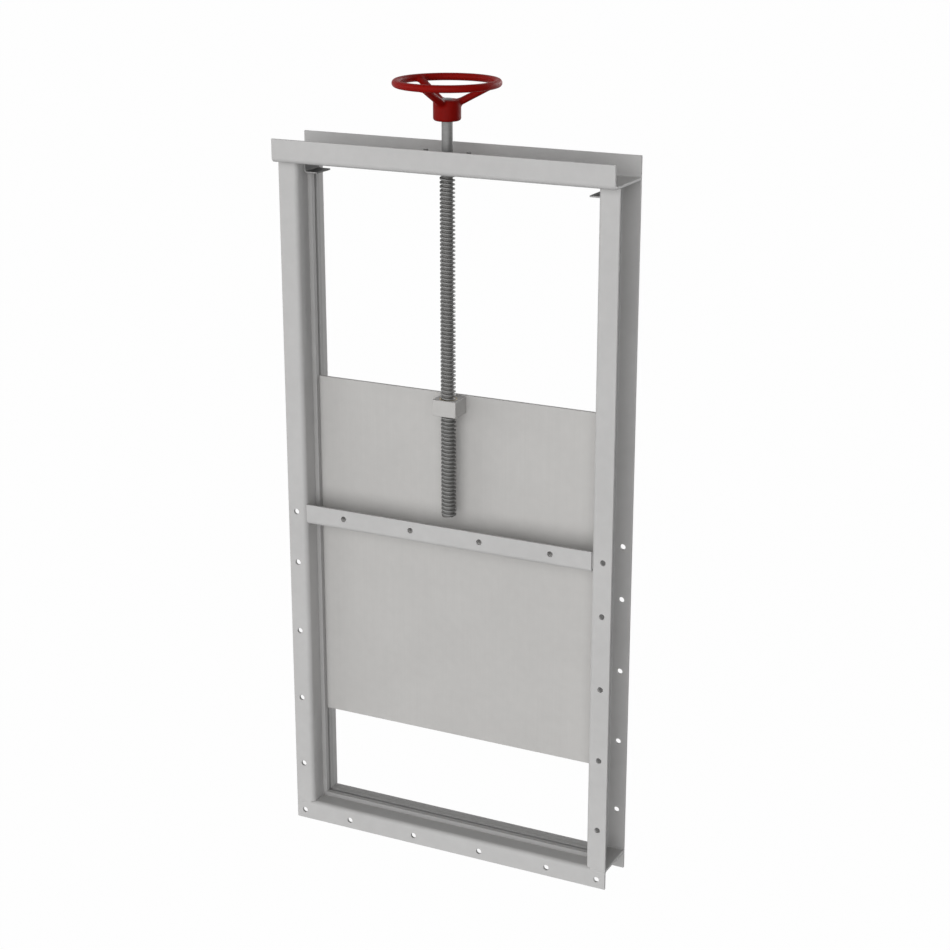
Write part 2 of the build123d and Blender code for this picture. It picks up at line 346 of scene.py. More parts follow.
def peel_group():
    """Orange peel of a sprayed coat: a fine noise over a coarser one."""
    tree, given, made = new_group("Sprayed coat", {"Scale": 420.0}, ["Height"])
    place = object_place(tree)
    coarse = noise(tree, place, given.outputs["Scale"], detail=1.0)
    fine = noise(tree, place, maths(tree, "MULTIPLY", given.outputs["Scale"], 4.0), detail=2.0)
    both = maths(tree, "ADD", maths(tree, "MULTIPLY", coarse, 0.75), maths(tree, "MULTIPLY", fine, 0.25))
    tree.links.new(both, made.inputs["Height"])
    return tree


def wear_group():
    """Worn edges: where the normal, softened over a small radius, turns away from the face's own."""
    tree, given, made = new_group("Worn edges", {"Radius": 1.5 * MM, "Spread": 0.5}, ["Mask"])
    soft = node(tree, "ShaderNodeBevel", {"Radius": given.outputs["Radius"]}, samples=4)
    own = node(tree, "ShaderNodeNewGeometry")
    turn = node(
        tree, "ShaderNodeVectorMath",
        {0: soft.outputs["Normal"], 1: own.outputs["Normal"]}, operation="DOT_PRODUCT",
    )
    edge = remap(tree, turn.outputs["Value"], 0.995, 0.80, 0.0, 1.0)
    patch = noise(tree, object_place(tree), 60.0, detail=6.0, roughness=0.7)
    broken = maths(tree, "ADD", maths(tree, "SUBTRACT", patch, 0.62), given.outputs["Spread"])
    tree.links.new(maths(tree, "MULTIPLY", edge, broken, clamp=True), made.inputs["Mask"])
    return tree


def dust_group():
    """Dust on faces that look up: the upward part of the normal, broken by noise."""
    tree, given, made = new_group("Settled dust", {"Amount": 0.5}, ["Mask"])
    normal = node(tree, "ShaderNodeNewGeometry").outputs["Normal"]
    rise = node(tree, "ShaderNodeSeparateXYZ", {"Vector": normal}).outputs["Z"]
    level = remap(tree, rise, 0.55, 0.98, 0.0, 1.0)
    patch = remap(tree, noise(tree, object_place(tree), 22.0, detail=6.0), 0.35, 0.7, 0.35, 1.0)
    amount = maths(tree, "MULTIPLY", maths(tree, "MULTIPLY", level, patch), given.outputs["Amount"])
    tree.links.new(amount, made.inputs["Mask"])
    return tree


def turning_group():
    """Tool marks of a lathe: noise squeezed along the spindle, so that it runs in rings round it."""
    tree, given, made = new_group("Turning marks", {"Rings": 2600.0}, ["Height", "Mask"])
    place = node(tree, "ShaderNodeSeparateXYZ", {"Vector": object_place(tree)})
    ringed = node(
        tree, "ShaderNodeCombineXYZ",
        {
            "X": maths(tree, "MULTIPLY", place.outputs["X"], 60.0),
            "Y": maths(tree, "MULTIPLY", place.outputs["Y"], 60.0),
            "Z": maths(tree, "MULTIPLY", place.outputs["Z"], given.outputs["Rings"]),
        },
    )
    marks = noise(tree, ringed.outputs["Vector"], 1.0, detail=3.0, roughness=0.6)
    tree.links.new(marks, made.inputs["Height"])
    tree.links.new(remap(tree, marks, 0.35, 0.65, 0.0, 1.0), made.inputs["Mask"])
    return tree


def rolling_group():
    """Rolling marks of a plate: noise drawn out along the plate's height."""
    tree, given, made = new_group("Rolling marks", {"Scale": 260.0}, ["Mask"])
    place = node(tree, "ShaderNodeSeparateXYZ", {"Vector": object_place(tree)})
    drawn = node(
        tree, "ShaderNodeCombineXYZ",
        {
            "X": maths(tree, "MULTIPLY", place.outputs["X"], given.outputs["Scale"]),
            "Y": place.outputs["Y"],
            "Z": maths(tree, "MULTIPLY", place.outputs["Z"], 3.0),
        },
    )
    marks = noise(tree, drawn.outputs["Vector"], 1.0, detail=4.0, roughness=0.6)
    tree.links.new(remap(tree, marks, 0.3, 0.7, 0.0, 1.0), made.inputs["Mask"])
    return tree


def built_groups():
    """The shared effects, each built once."""
    return {
        "mottle": mottle_group(),
        "peel": peel_group(),
        "wear": wear_group(),
        "dust": dust_group(),
        "turning": turning_group(),
        "rolling": rolling_group(),
    }


def effect(tree, name, inputs=None):
    """One of the shared effects, placed in a material."""
    made = tree.nodes.new("ShaderNodeGroup")
    made.node_tree = shared_effects[name]
    for socket, value in (inputs or {}).items():
        made.inputs[socket].default_value = value
    return made.outputs


# Materials


def shaded(colour, factor):
    """A colour with alpha, each part times the factor."""
    return (*[min(1.0, part * factor) for part in colour], 1.0)


def new_material(name):
    """A material with only its Principled shader; returns the material, its tree and the shader."""
    material = bpy.data.materials.new(name)
    material.use_nodes = True
    return material, material.node_tree, material.node_tree.nodes["Principled BSDF"]


def bump(tree, shader, height, distance, strength=1.0):
    """Feeds a height, in parts of the distance, into the shader's normal."""
    made = node(tree, "ShaderNodeBump", {"Height": height, "Distance": distance, "Strength": strength})
    tree.links.new(made.outputs["Normal"], shader.inputs["Normal"])


def painted_steel(name, colour, rolled=0.0):
    """Satin paint on steel: a faintly uneven tone, orange peel, dust on top and paler edges."""
    material, tree, shader = new_material(name)
    uneven = effect(tree, "mottle", {"Scale": 7.0})["Mask"]
    tone = mix_colour(tree, uneven, shaded(colour, 0.96), shaded(colour, 1.03))
    if rolled:
        marks = effect(tree, "rolling")["Mask"]
        share = maths(tree, "MULTIPLY", marks, rolled)
        tone = mix_colour(tree, share, tone, shaded(colour, 0.93))
    worn = effect(tree, "wear", {"Radius": 1.2 * MM, "Spread": 0.45})["Mask"]
    tone = mix_colour(tree, maths(tree, "MULTIPLY", worn, 0.4), tone, shaded(colour, 1.08))
    dust = effect(tree, "dust", {"Amount": 0.25})["Mask"]
    tone = mix_colour(tree, dust, tone, (0.46, 0.45, 0.43, 1.0))
    tree.links.new(tone, shader.inputs["Base Color"])
    rough = maths(tree, "ADD", remap(tree, uneven, 0.0, 1.0, 0.46, 0.56), maths(tree, "MULTIPLY", dust, 0.3))
    tree.links.new(rough, shader.inputs["Roughness"])
    shader.inputs["Specular IOR Level"].default_value = 0.2
    bump(tree, shader, effect(tree, "peel")["Height"], 0.22 * MM, 0.9)
    return material


def stop_painted_shade(name, colour):
    """Frame paint with painted shade: dark on the faces under the head, and kept nearly as light as the
    paint, as painted light, on the ends that face along the duct.
    """
    material, tree, shader = new_material(name)
    normal = node(tree, "ShaderNodeNewGeometry").outputs["Normal"]
    facing = node(tree, "ShaderNodeSeparateXYZ", {"Vector": normal}).outputs["Y"]
    # Painted light: the ends that face along the duct are picked out by their direction alone.
    painted_lit_ends = remap(tree, maths(tree, "ABSOLUTE", facing), 0.55, 0.9, 0.0, 1.0)
    uneven = effect(tree, "mottle", {"Scale": 40.0})["Mask"]
    # Painted shade: a fifth to a quarter of the paint's tone on every other face.
    dark = mix_colour(tree, uneven, shaded(colour, 0.19), shaded(colour, 0.25))
    tone = mix_colour(tree, painted_lit_ends, dark, shaded(colour, 0.85))
    tree.links.new(tone, shader.inputs["Base Color"])
    tree.links.new(remap(tree, uneven, 0.0, 1.0, 0.48, 0.60), shader.inputs["Roughness"])
    shader.inputs["Specular IOR Level"].default_value = 0.2
    bump(tree, shader, effect(tree, "peel", {"Scale": 700.0})["Height"], 0.05 * MM, 0.6)
    return material


def turned_steel(name, colour, grease=None, axis=(0.0, 0.0), groove=(0.0, 1.0)):
    """Turned steel with lathe rings. With grease, it darkens from the groove's bottom to its top."""
    material, tree, shader = new_material(name)
    shader.inputs["Metallic"].default_value = 0.55
    marks = effect(tree, "turning")
    uneven = effect(tree, "mottle", {"Scale": 30.0})["Mask"]
    tone = mix_colour(tree, marks["Mask"], shaded(colour, 0.85), shaded(colour, 1.12))
    tone = mix_colour(tree, maths(tree, "MULTIPLY", uneven, 0.35), tone, shaded(colour, 0.7))
    rough = remap(tree, uneven, 0.0, 1.0, 0.36, 0.50)
    if grease is not None:
        place = node(tree, "ShaderNodeSeparateXYZ", {"Vector": object_place(tree)})
        across = maths(tree, "SUBTRACT", place.outputs["X"], axis[0])
        along = maths(tree, "SUBTRACT", place.outputs["Y"], axis[1])
        square = maths(
            tree, "ADD", maths(tree, "MULTIPLY", across, across), maths(tree, "MULTIPLY", along, along)
        )
        depth = remap(tree, maths(tree, "SQRT", square), groove[0], groove[1], 1.0, 0.0)
        tone = mix_colour(tree, depth, tone, shaded(grease, 1.0))
        rough = maths(tree, "ADD", rough, maths(tree, "MULTIPLY", depth, 0.18))
    tree.links.new(tone, shader.inputs["Base Color"])
    tree.links.new(rough, shader.inputs["Roughness"])
    bump(tree, shader, marks["Height"], 0.02 * MM, 0.5)
    return material


def plated_steel(name, colour):
    """Zinc plate: a soft sheen with a cloudy tone and rubbed corners."""
    material, tree, shader = new_material(name)
    shader.inputs["Metallic"].default_value = 1.0
    cloud = effect(tree, "mottle", {"Scale": 120.0})["Mask"]
    tone = mix_colour(tree, cloud, shaded(colour, 0.82), shaded(colour, 1.1))
    worn = effect(tree, "wear", {"Radius": 0.6 * MM, "Spread": 0.5})["Mask"]
    tone = mix_colour(tree, worn, tone, shaded(colour, 1.35))
    tree.links.new(tone, shader.inputs["Base Color"])
    tree.links.new(remap(tree, cloud, 0.0, 1.0, 0.34, 0.48), shader.inputs["Roughness"])
    bump(tree, shader, effect(tree, "peel", {"Scale": 900.0})["Height"], 0.02 * MM, 0.4)
    return material


def cast_enamel(name, colour, deep, high):
    """Enamel on a casting: a soft sheen, a little wavy from the sand, and darker down at the hub as painted
    shade.
    """
    material, tree, shader = new_material(name)
    uneven = effect(tree, "mottle", {"Scale": 28.0})["Mask"]
    tone = mix_colour(tree, uneven, shaded(colour, 0.9), shaded(colour, 1.08))
    worn = effect(tree, "wear", {"Radius": 2.0 * MM, "Spread": 0.35})["Mask"]
    tone = mix_colour(tree, maths(tree, "MULTIPLY", worn, 0.25), tone, shaded(colour, 0.6))
    # Painted shade: the tone darkens from the rim's height down to the hub's foot.
    rise = node(tree, "ShaderNodeSeparateXYZ", {"Vector": object_place(tree)}).outputs["Z"]
    tone = mix_colour(tree, remap(tree, rise, deep, high, 0.6, 0.0), tone, shaded(colour, 0.55))
    tree.links.new(tone, shader.inputs["Base Color"])
    tree.links.new(remap(tree, uneven, 0.0, 1.0, 0.42, 0.54), shader.inputs["Roughness"])
    shader.inputs["Specular IOR Level"].default_value = 0.07
    bump(tree, shader, effect(tree, "peel", {"Scale": 190.0})["Height"], 0.25 * MM, 0.5)
    return material


def built_materials():
    """All finishes of the damper, by their use."""
    colours = bpy.context.scene.damper_colours
    screw = bpy.context.scene.damper_screw
    axis = spindle_axis()
    wheel_low, wheel_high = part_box("handwheel")
    return {
        "frame": painted_steel("frame_paint", colours.frame_paint),
        # The bars' paint is darkened as painted shade; its rolling marks are real.
        "bars": painted_steel("bar_shaded_paint", colours.bar_shaded_paint, rolled=0.25),
        "blade": painted_steel("blade_finish", colours.blade_paint, rolled=0.35),
        # Frame paint with painted shade and painted light, for the stop plates.
        "stops": stop_painted_shade("stop_painted_shade", colours.frame_paint),
        "screw": turned_steel(
            "screw_steel", colours.screw_steel, colours.thread_grease, axis, (screw.root / 2, screw.crest / 2)
        ),
        "shaft": turned_steel("shaft_steel", shaded(colours.screw_steel, 1.05)[:3]),
        "bronze": turned_steel("turned_bronze", colours.bronze),
        "zinc": plated_steel("zinc_plate", colours.zinc),
        # Painted shade: the zinc's colour at three tenths, for the small bearing studs, which stand in shade.
        "dark": plated_steel("stud_shade_steel", shaded(colours.zinc, 0.3)[:3]),
        "enamel": cast_enamel("wheel_enamel", colours.wheel_enamel, wheel_low[2], wheel_high[2]),
    }


# Surfaces


def strips(rows):
    """Quads that join each row of point numbers to the next one."""
    rows = np.asarray(rows)
    return np.stack([rows[:-1, :-1], rows[:-1, 1:], rows[1:, 1:], rows[1:, :-1]], -1).reshape(-1, 4)


def closed(rows):
    """Rows of point numbers, each brought back to its own first point."""
    return np.hstack([rows, rows[:, :1]])


def numbered(points):
    """The number of each point of a grid, row by row."""
    return np.arange(points.shape[0] * points.shape[1]).reshape(points.shape[:2])


def capped(numbers):
    """Faces of a tube: each row brought round to its start, and the first and the last row filled."""
    return [strips(closed(numbers)), numbers[:1, ::-1], numbers[-1:]]


def looped(numbers):
    """Faces of a ring: the rows and the columns are both brought round to their start."""
    return [strips(closed(np.vstack([numbers, numbers[:1]])))]


def volume_of(points, faces):
    """Signed volume of a closed surface: the sum of a . (b x c) / 6 over each face's fan of triangles."""
    total = 0.0
    for block in faces:
        first = points[block[:, 0]]
        for corner in range(1, block.shape[1] - 1):
            second, third = points[block[:, corner]], points[block[:, corner + 1]]
            total += np.einsum("ij,ij->", first, np.cross(second, third)) / 6
    return total


def filled_mesh(name, points, blocks):
    """A bare mesh from points (n, 3) and blocks of faces (m, corners)."""
    mesh = bpy.data.meshes.new(name)
    mesh.from_pydata(points, [], [face for block in blocks for face in block.tolist()])
    return mesh


def mesh_of(points, faces, name="part"):
    """A bare mesh of a closed surface, turned so that its faces look out."""
    blocks = [np.atleast_2d(block) for block in faces]
    if volume_of(points, blocks) < 0:
        blocks = [block[:, ::-1] for block in blocks]
    return filled_mesh(name, points, blocks)


def even_shading(piece):
    """Normals weighted by face area, which keep flats flat beside small rounded edges."""
    shading = piece.modifiers.new("Even shading", "WEIGHTED_NORMAL")
    shading.weight = 50
    shading.keep_sharp = True


def linked(name, mesh, even=False):
    """An object for a mesh, in the scene, with even shading where it is asked for."""
    piece = bpy.data.objects.new(name, mesh)
    bpy.context.scene.collection.objects.link(piece)
    if even:
        even_shading(piece)
    return piece


def new_piece(name, points, faces):
    """An object of a closed surface, smooth and evenly shaded."""
    mesh = mesh_of(points, faces, name)
    mesh.shade_smooth()
    return linked(name, mesh, even=True)


def sharpened(mesh, degrees=25):
    """Marks the edges that turn by more than this as sharp."""
    mesh.shade_smooth()
    mesh.set_sharp_from_angle(angle=math.radians(degrees))
    return mesh


def joined_piece(name, meshes, degrees=25):
    """An object of several meshes, its edges sharp where they turn by more than this."""
    work = bmesh.new()
    for mesh in meshes:
        work.from_mesh(mesh)
        bpy.data.meshes.remove(mesh)
    made = bpy.data.meshes.new(name)
    work.to_mesh(made)
    work.free()
    return linked(name, sharpened(made, degrees))


def finish(piece, material, body, slot, *nodes):
    """Gives a piece its material and its body, and hides the CAD nodes it stands for. The slot is not used.
    """
    piece.data.materials.clear()
    piece.data.materials.append(material)
    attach(piece, body)
    if nodes:
        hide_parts(*nodes)
    return piece


def quarter(count, ends=False):
    """Angles of a quarter turn cut in count steps, with or without its two ends."""
    angles = np.linspace(0, math.pi / 2, count + 1)
    return angles if ends else angles[1:-1]


def turned_unit(angles, first, second):
    """Unit vectors that turn from the first towards the second: cos(a) first + sin(a) second."""
    return np.cos(angles)[:, None] * first + np.sin(angles)[:, None] * second


class Hole(NamedTuple):
    """A round hole through one flat of a folded sheet, with the half size of its cell on the grid."""

    flat: int
    across: float
    along: float
    radius: float
    half_cell: float


class FoldedSheet:
    """A folded sheet with round bends, rounded edges and holes through its flats.

    corners are the sharp corners of the outline's outer side, in the plane of the section, and each fold
    turns left by a quarter turn. The section is one closed loop: the outer side, a free edge, the inner side
    and the other free edge. It is carried straight along the sheet, and it shrinks over a quarter circle at
    both ends. In a hole's cell the grid gives way to rings: the cell's own outline outside, circles inside,
    down the hole's wall to the other side.
    """

    BEND_STEPS = 8
    EDGE_STEPS = 3
    CELL_STEPS = 8

    def __init__(self, corners, length, thickness, bend, edge, holes=()):
        self.corners = np.asarray(corners, float)
        self.length, self.thickness, self.bend, self.edge = length, thickness, bend, edge
        self.holes = holes
        steps = np.diff(self.corners, axis=0)
        self.spans = np.linalg.norm(steps, axis=1)
        self.ways = steps / self.spans[:, None]
        self.normals = np.stack([self.ways[:, 1], -self.ways[:, 0]], -1)
        self.flat_lines = [self.lines_across(flat) for flat in range(len(self.spans))]
        self.stations = self.lines_along()
        self.trace()

    def cell_lines(self, centre, half):
        """Grid lines over one cell."""
        return np.linspace(centre - half, centre + half, self.CELL_STEPS + 1)

    def lines_across(self, flat):
        """Grid lines across one flat: its two ends and those of its holes' cells."""
        outer = self.bend + self.thickness
        start = self.edge if flat == 0 else outer
        stop = self.spans[flat] - (self.edge if flat == len(self.spans) - 1 else outer)
        lines = [self.cell_lines(hole.across, hole.half_cell) for hole in self.holes if hole.flat == flat]
        return np.unique(np.round(np.concatenate([[start, stop], *lines]), 7))

    def lines_along(self):
        """Grid lines along the sheet, between the two rounded ends."""
        lines = [self.cell_lines(hole.along, hole.half_cell) for hole in self.holes]
        ends = [self.edge, self.length - self.edge]
        return np.unique(np.round(np.concatenate([ends, *lines]), 7))

    def trace(self):
        """Walks round the section and notes which points lie on each flat, outside and inside."""
        points, normals = [], []
        self.outer, self.inner, side = [], [None] * len(self.spans), []
        count = 0

        def put(places, facing):
            nonlocal count
            points.append(places)
            normals.append(np.broadcast_to(facing, places.shape))
            count += len(places)
            return np.arange(count - len(places), count)

        def along_flat(flat, depth):
            way, normal = self.ways[flat], self.normals[flat]
            return self.corners[flat] + self.flat_lines[flat][:, None] * way - depth * normal

        def free_edge(place, first, out, last):
            """Two quarter circles round a free edge, from the first normal over out to the last."""
            near = turned_unit(quarter(self.EDGE_STEPS, True)[1:], first, out)
            put(place - self.edge * first + self.edge * near, near)
            far = turned_unit(quarter(self.EDGE_STEPS, True)[:-1], out, last)
            put(place - (self.thickness - self.edge) * first + self.edge * far, far)

        last_flat = len(self.spans) - 1
        for flat in range(last_flat + 1):
            self.outer.append(put(along_flat(flat, 0), self.normals[flat]))
            side.append(self.outer[-1])
            if flat < last_flat:
                turn = turned_unit(quarter(self.BEND_STEPS), self.normals[flat], self.ways[flat])
                centre = self.bend_centre(flat)
                side.append(put(centre + (self.bend + self.thickness) * turn, turn))
        outer_side = np.concatenate(side)
        way, normal = self.ways[last_flat], self.normals[last_flat]
        first_lip = count
        free_edge(self.corners[-1] - self.edge * way, normal, way, -normal)
        last_lip = count
        side = []
        for flat in range(last_flat, -1, -1):
            numbers = put(along_flat(flat, self.thickness)[::-1], -self.normals[flat])
            self.inner[flat] = numbers[::-1]
            side.append(numbers)
            if flat > 0:
                before = flat - 1
                turn = turned_unit(quarter(self.BEND_STEPS), self.normals[before], self.ways[before])[::-1]
                side.append(put(self.bend_centre(before) + self.bend * turn, -turn))
        inner_side = np.concatenate(side)[::-1]
        start_lip = count
        way, normal = self.ways[0], self.normals[0]
        inner_place = self.corners[0] + self.edge * way - self.thickness * normal
        free_edge(inner_place, -normal, -way, normal)
        self.points = np.concatenate(points)
        self.facing = np.concatenate(normals)
        self.caps = [np.stack([outer_side, inner_side])]
        self.lips = [
            np.concatenate([outer_side[-1:], np.arange(first_lip, last_lip), inner_side[-1:]]),
            np.concatenate([inner_side[:1], np.arange(start_lip, count), outer_side[:1]]),
        ]

    def bend_centre(self, flat):
        """Centre of the bend after a flat."""
        outer = self.bend + self.thickness
        return self.corners[flat + 1] - outer * (self.ways[flat] + self.normals[flat])

    def surface(self):
        """Points as (across, up, along) and the blocks of faces."""
        turn = quarter(self.EDGE_STEPS, True)
        shrink = self.edge * (1 - np.sin(turn))
        near = self.edge * (1 - np.cos(turn))
        along = np.concatenate([near[:-1], self.stations, self.length - near[:-1][::-1]])
        inward = np.concatenate([shrink[:-1], 0 * self.stations, shrink[:-1][::-1]])
        first_station = len(near) - 1
        section = self.points[None] - inward[:, None, None] * self.facing[None]
        height = np.broadcast_to(along[:, None, None], (*section.shape[:2], 1))
        points = np.concatenate([section, height], -1).reshape(-1, 3)
        across = len(self.points)
        numbers = numbered(section)
        kept = np.ones((len(along) - 1, across), bool)
        faces, extra, count = [], [], len(points)
        for hole in self.holes:
            rings, sides = self.hole_rings(hole, first_station, numbers, count)
            extra.append(rings.reshape(-1, 3))
            count += len(extra[-1])
            faces.append(sides)
            rows, outer, inner = self.cell_of(hole, first_station)
            kept[rows[0] : rows[1], outer[0] : outer[1]] = False
            kept[rows[0] : rows[1], inner[0] : inner[1]] = False
        faces.append(strips(closed(numbers)).reshape(len(along) - 1, across, 4)[kept])
        for row, order in ((numbers[0], 1), (numbers[-1], -1)):
            faces += [strips(row[cap])[:, ::order] for cap in self.caps]
            faces += [row[lip][None, ::order] for lip in self.lips]
        return np.concatenate([points, *extra]), faces

    def cell_range(self, hole):
        """First and last grid line of a hole's cell, across its flat and along the sheet."""
        edges = hole.half_cell * np.array([[-1], [1]])
        across = abs(self.flat_lines[hole.flat] - hole.across - edges).argmin(1)
        rows = abs(self.stations - hole.along - edges).argmin(1)
        return across, rows

    def cell_of(self, hole, first_station):
        """Ranges of grid rows and of outer and inner points that a hole's cell covers."""
        across, rows = self.cell_range(hole)
        outer, inner = self.outer[hole.flat], self.inner[hole.flat]
        return (
            (rows[0] + first_station, rows[1] + first_station),
            (outer[across[0]], outer[across[1]]),
            (inner[across[1]], inner[across[0]]),
        )

    def hole_rings(self, hole, first_station, numbers, count):
        """Circles down a hole's wall, and the quads from one face's cell outline to the other's."""
        flat, place, along, radius, _ = hole
        (left, right), (low, high) = self.cell_range(hole)
        across = np.arange(left, right)
        rows = np.arange(low, high)
        column = np.concatenate([across, 0 * rows + right, across[::-1] + 1, 0 * rows + left])
        row = np.concatenate([0 * across + low, rows, 0 * across + high, rows[::-1] + 1])
        reach_across = self.flat_lines[flat][column] - place
        reach_along = self.stations[row] - along
        angle = np.arctan2(reach_along, reach_across)
        turn = quarter(self.EDGE_STEPS, True)
        flare = self.edge * (1 - np.sin(turn))
        depth = self.edge * (1 - np.cos(turn))
        radii = radius + np.concatenate([flare, flare[::-1]])
        depths = np.concatenate([depth, self.thickness - depth[::-1]])
        side = place + radii[:, None] * np.cos(angle)
        base = self.corners[flat] + side[..., None] * self.ways[flat]
        base = base - depths[:, None, None] * self.normals[flat]
        rings = np.concatenate([base, (along + radii[:, None] * np.sin(angle))[..., None]], -1)
        inside = count + numbered(rings)
        first = numbers[row + first_station, self.outer[flat][column]]
        last = numbers[row + first_station, self.inner[flat][column]]
        return rings, strips(closed(np.vstack([first, inside, last])))


def stand(points, origin, across, up, along):
    """Puts points given as (across, up, along) into the damper's own frame."""
    return np.asarray(origin) + points @ np.array([across, up, along], float)


def sheet_piece(name, sheet, origin, across, up, along):
    """An object of a folded sheet, put into the damper's own frame."""
    points, faces = sheet.surface()
    return new_piece(name, stand(points, origin, across, up, along), faces)


def turned_points(profile, centre, turns=64):
    """A profile of (radius, height) rows carried once round a vertical axis through the centre.

    A point is centre + (r cos a, r sin a, h), for each row of the profile and each angle a.
    """
    angles = np.linspace(0, 2 * math.pi, turns, endpoint=False)
    profile = np.asarray(profile, float)
    radius, height = profile[:, :1], profile[:, 1:]
    ring = np.stack([radius * np.cos(angles), radius * np.sin(angles), height + 0 * angles], -1)
    return np.asarray(centre) + ring


def rounded_loop(corners, radius, steps=4):
    """A closed loop of convex or hollow right corners, each cut by a quarter circle of the same radius."""
    corners = np.asarray(corners, float)
    back = np.roll(corners, 1, axis=0) - corners
    ahead = np.roll(corners, -1, axis=0) - corners
    back /= np.linalg.norm(back, axis=1)[:, None]
    ahead /= np.linalg.norm(ahead, axis=1)[:, None]
    angles = quarter(steps, True)
    reach_back = (1 - np.sin(angles))[None, :, None]
    reach_ahead = (1 - np.cos(angles))[None, :, None]
    arc = corners[:, None] + radius * (reach_back * back[:, None] + reach_ahead * ahead[:, None])
    return arc.reshape(-1, 2)


def ring_surface(profile_corners, centre, edge, turns=64):
    """Points and faces of a closed profile of (radius, height), its corners rounded, turned about an axis."""
    profile = rounded_loop(profile_corners, edge)
    rings = turned_points(profile, centre, turns)
    return rings.reshape(-1, 3), looped(numbered(rings))


def merged_copy(cad_node):
    """A mesh like a CAD node's, with its doubled points joined and its flat faces free of inner edges."""
    work = bmesh.new()
    work.from_mesh(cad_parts[cad_node].data)
    bmesh.ops.remove_doubles(work, verts=work.verts, dist=SAME_POINT)
    bmesh.ops.dissolve_limit(work, angle_limit=math.radians(0.5), verts=work.verts, edges=work.edges)
    bmesh.ops.recalc_face_normals(work, faces=work.faces)
    mesh = bpy.data.meshes.new(cad_node + "_copy")
    work.to_mesh(mesh)
    work.free()
    return mesh


def eased_copy(cad_node, width):
    """A copy of a plain CAD piece whose sharp edges are rounded."""
    mesh = merged_copy(cad_node)
    mesh.shade_smooth()
    piece = linked(cad_node + "_eased", mesh)
    rounding = piece.modifiers.new("Eased edges", "BEVEL")
    rounding.width = width
    rounding.segments = 3
    rounding.limit_method = "ANGLE"
    rounding.angle_limit = math.radians(35)
    even_shading(piece)
    return piece


def cut_off(work, height, way):
    """Takes away what lies beyond a height, above it (way 1) or below it (way -1), and closes the cut."""
    everything = [*work.verts, *work.edges, *work.faces]
    cut = bmesh.ops.bisect_plane(
        work, geom=everything, plane_co=(0, 0, height), plane_no=(0, 0, way), clear_outer=True,
        dist=SAME_POINT,
    )
    rim = [part for part in cut["geom_cut"] if isinstance(part, bmesh.types.BMEdge)]
    bmesh.ops.holes_fill(work, edges=rim, sides=0)


def trimmed(points, faces, bottom, top):
    """A mesh cut off square at both heights, its ends closed."""
    mesh = filled_mesh("trimmed", points, faces)
    work = bmesh.new()
    work.from_mesh(mesh)
    cut_off(work, bottom, -1)
    cut_off(work, top, 1)
    bmesh.ops.recalc_face_normals(work, faces=work.faces)
    work.to_mesh(mesh)
    work.free()
    return mesh


# Fasteners


CHAMFER_SLOPE = math.tan(math.radians(30))
CHAMFER_FACE = 0.96
COUNTERSINK = 0.08
HEAD_CENTRE = 0.2 * MM
WASHER_EASE = 0.3 * MM


def hexagon_radius(angles, across_flats):
    """Radius of a hexagon at each angle: half its width over the cosine of the turn from a flat's middle."""
    from_flat = (angles + math.pi / 6) % (math.pi / 3) - math.pi / 6
    return across_flats / 2 / np.cos(from_flat)


def hexagon_block(centre, across_flats, bottom, top, bore=0.0):
    """Points and faces of a nut, or of a bolt head where it has no bore.

    A point is centre + (r cos a, r sin a, h). On the sides r is the hexagon's radius, held below that of a 30
    degree cone, which leaves a round face of nearly the width across flats. A nut is cut by the cone at both
    ends and its bore has a countersunk mouth, and a head is cut at its top and closed over.
    """
    angles = np.linspace(0, 2 * math.pi, 72, endpoint=False)
    corner = across_flats / math.sqrt(3)
    face = across_flats / 2 * CHAMFER_FACE
    drops = np.linspace(0, (corner - face) * CHAMFER_SLOPE, 5)
    cone = face + drops / CHAMFER_SLOPE
    if bore:
        side = np.concatenate([top - drops, bottom + drops[::-1]])
        limit = np.concatenate([cone, cone[::-1]])
    else:
        side = np.append(top - drops, bottom)
        limit = np.append(cone, corner)
    sides = np.minimum(hexagon_radius(angles, across_flats)[None], limit[:, None])
    mouth = np.full((1, len(angles)), bore * (1 + COUNTERSINK) if bore else HEAD_CENTRE)
    rings = np.vstack([mouth, sides, mouth])
    levels = np.concatenate([[top], side, [bottom]])
    if bore:
        depth = COUNTERSINK * bore
        rings = np.vstack([rings, np.full((2, len(angles)), bore)])
        levels = np.concatenate([levels, [bottom + depth, top - depth]])
    points = np.stack([rings * np.cos(angles), rings * np.sin(angles), levels[:, None] + 0 * rings], -1)
    faces = looped(numbered(rings)) if bore else capped(numbered(rings))
    return np.asarray(centre) + points.reshape(-1, 3), faces


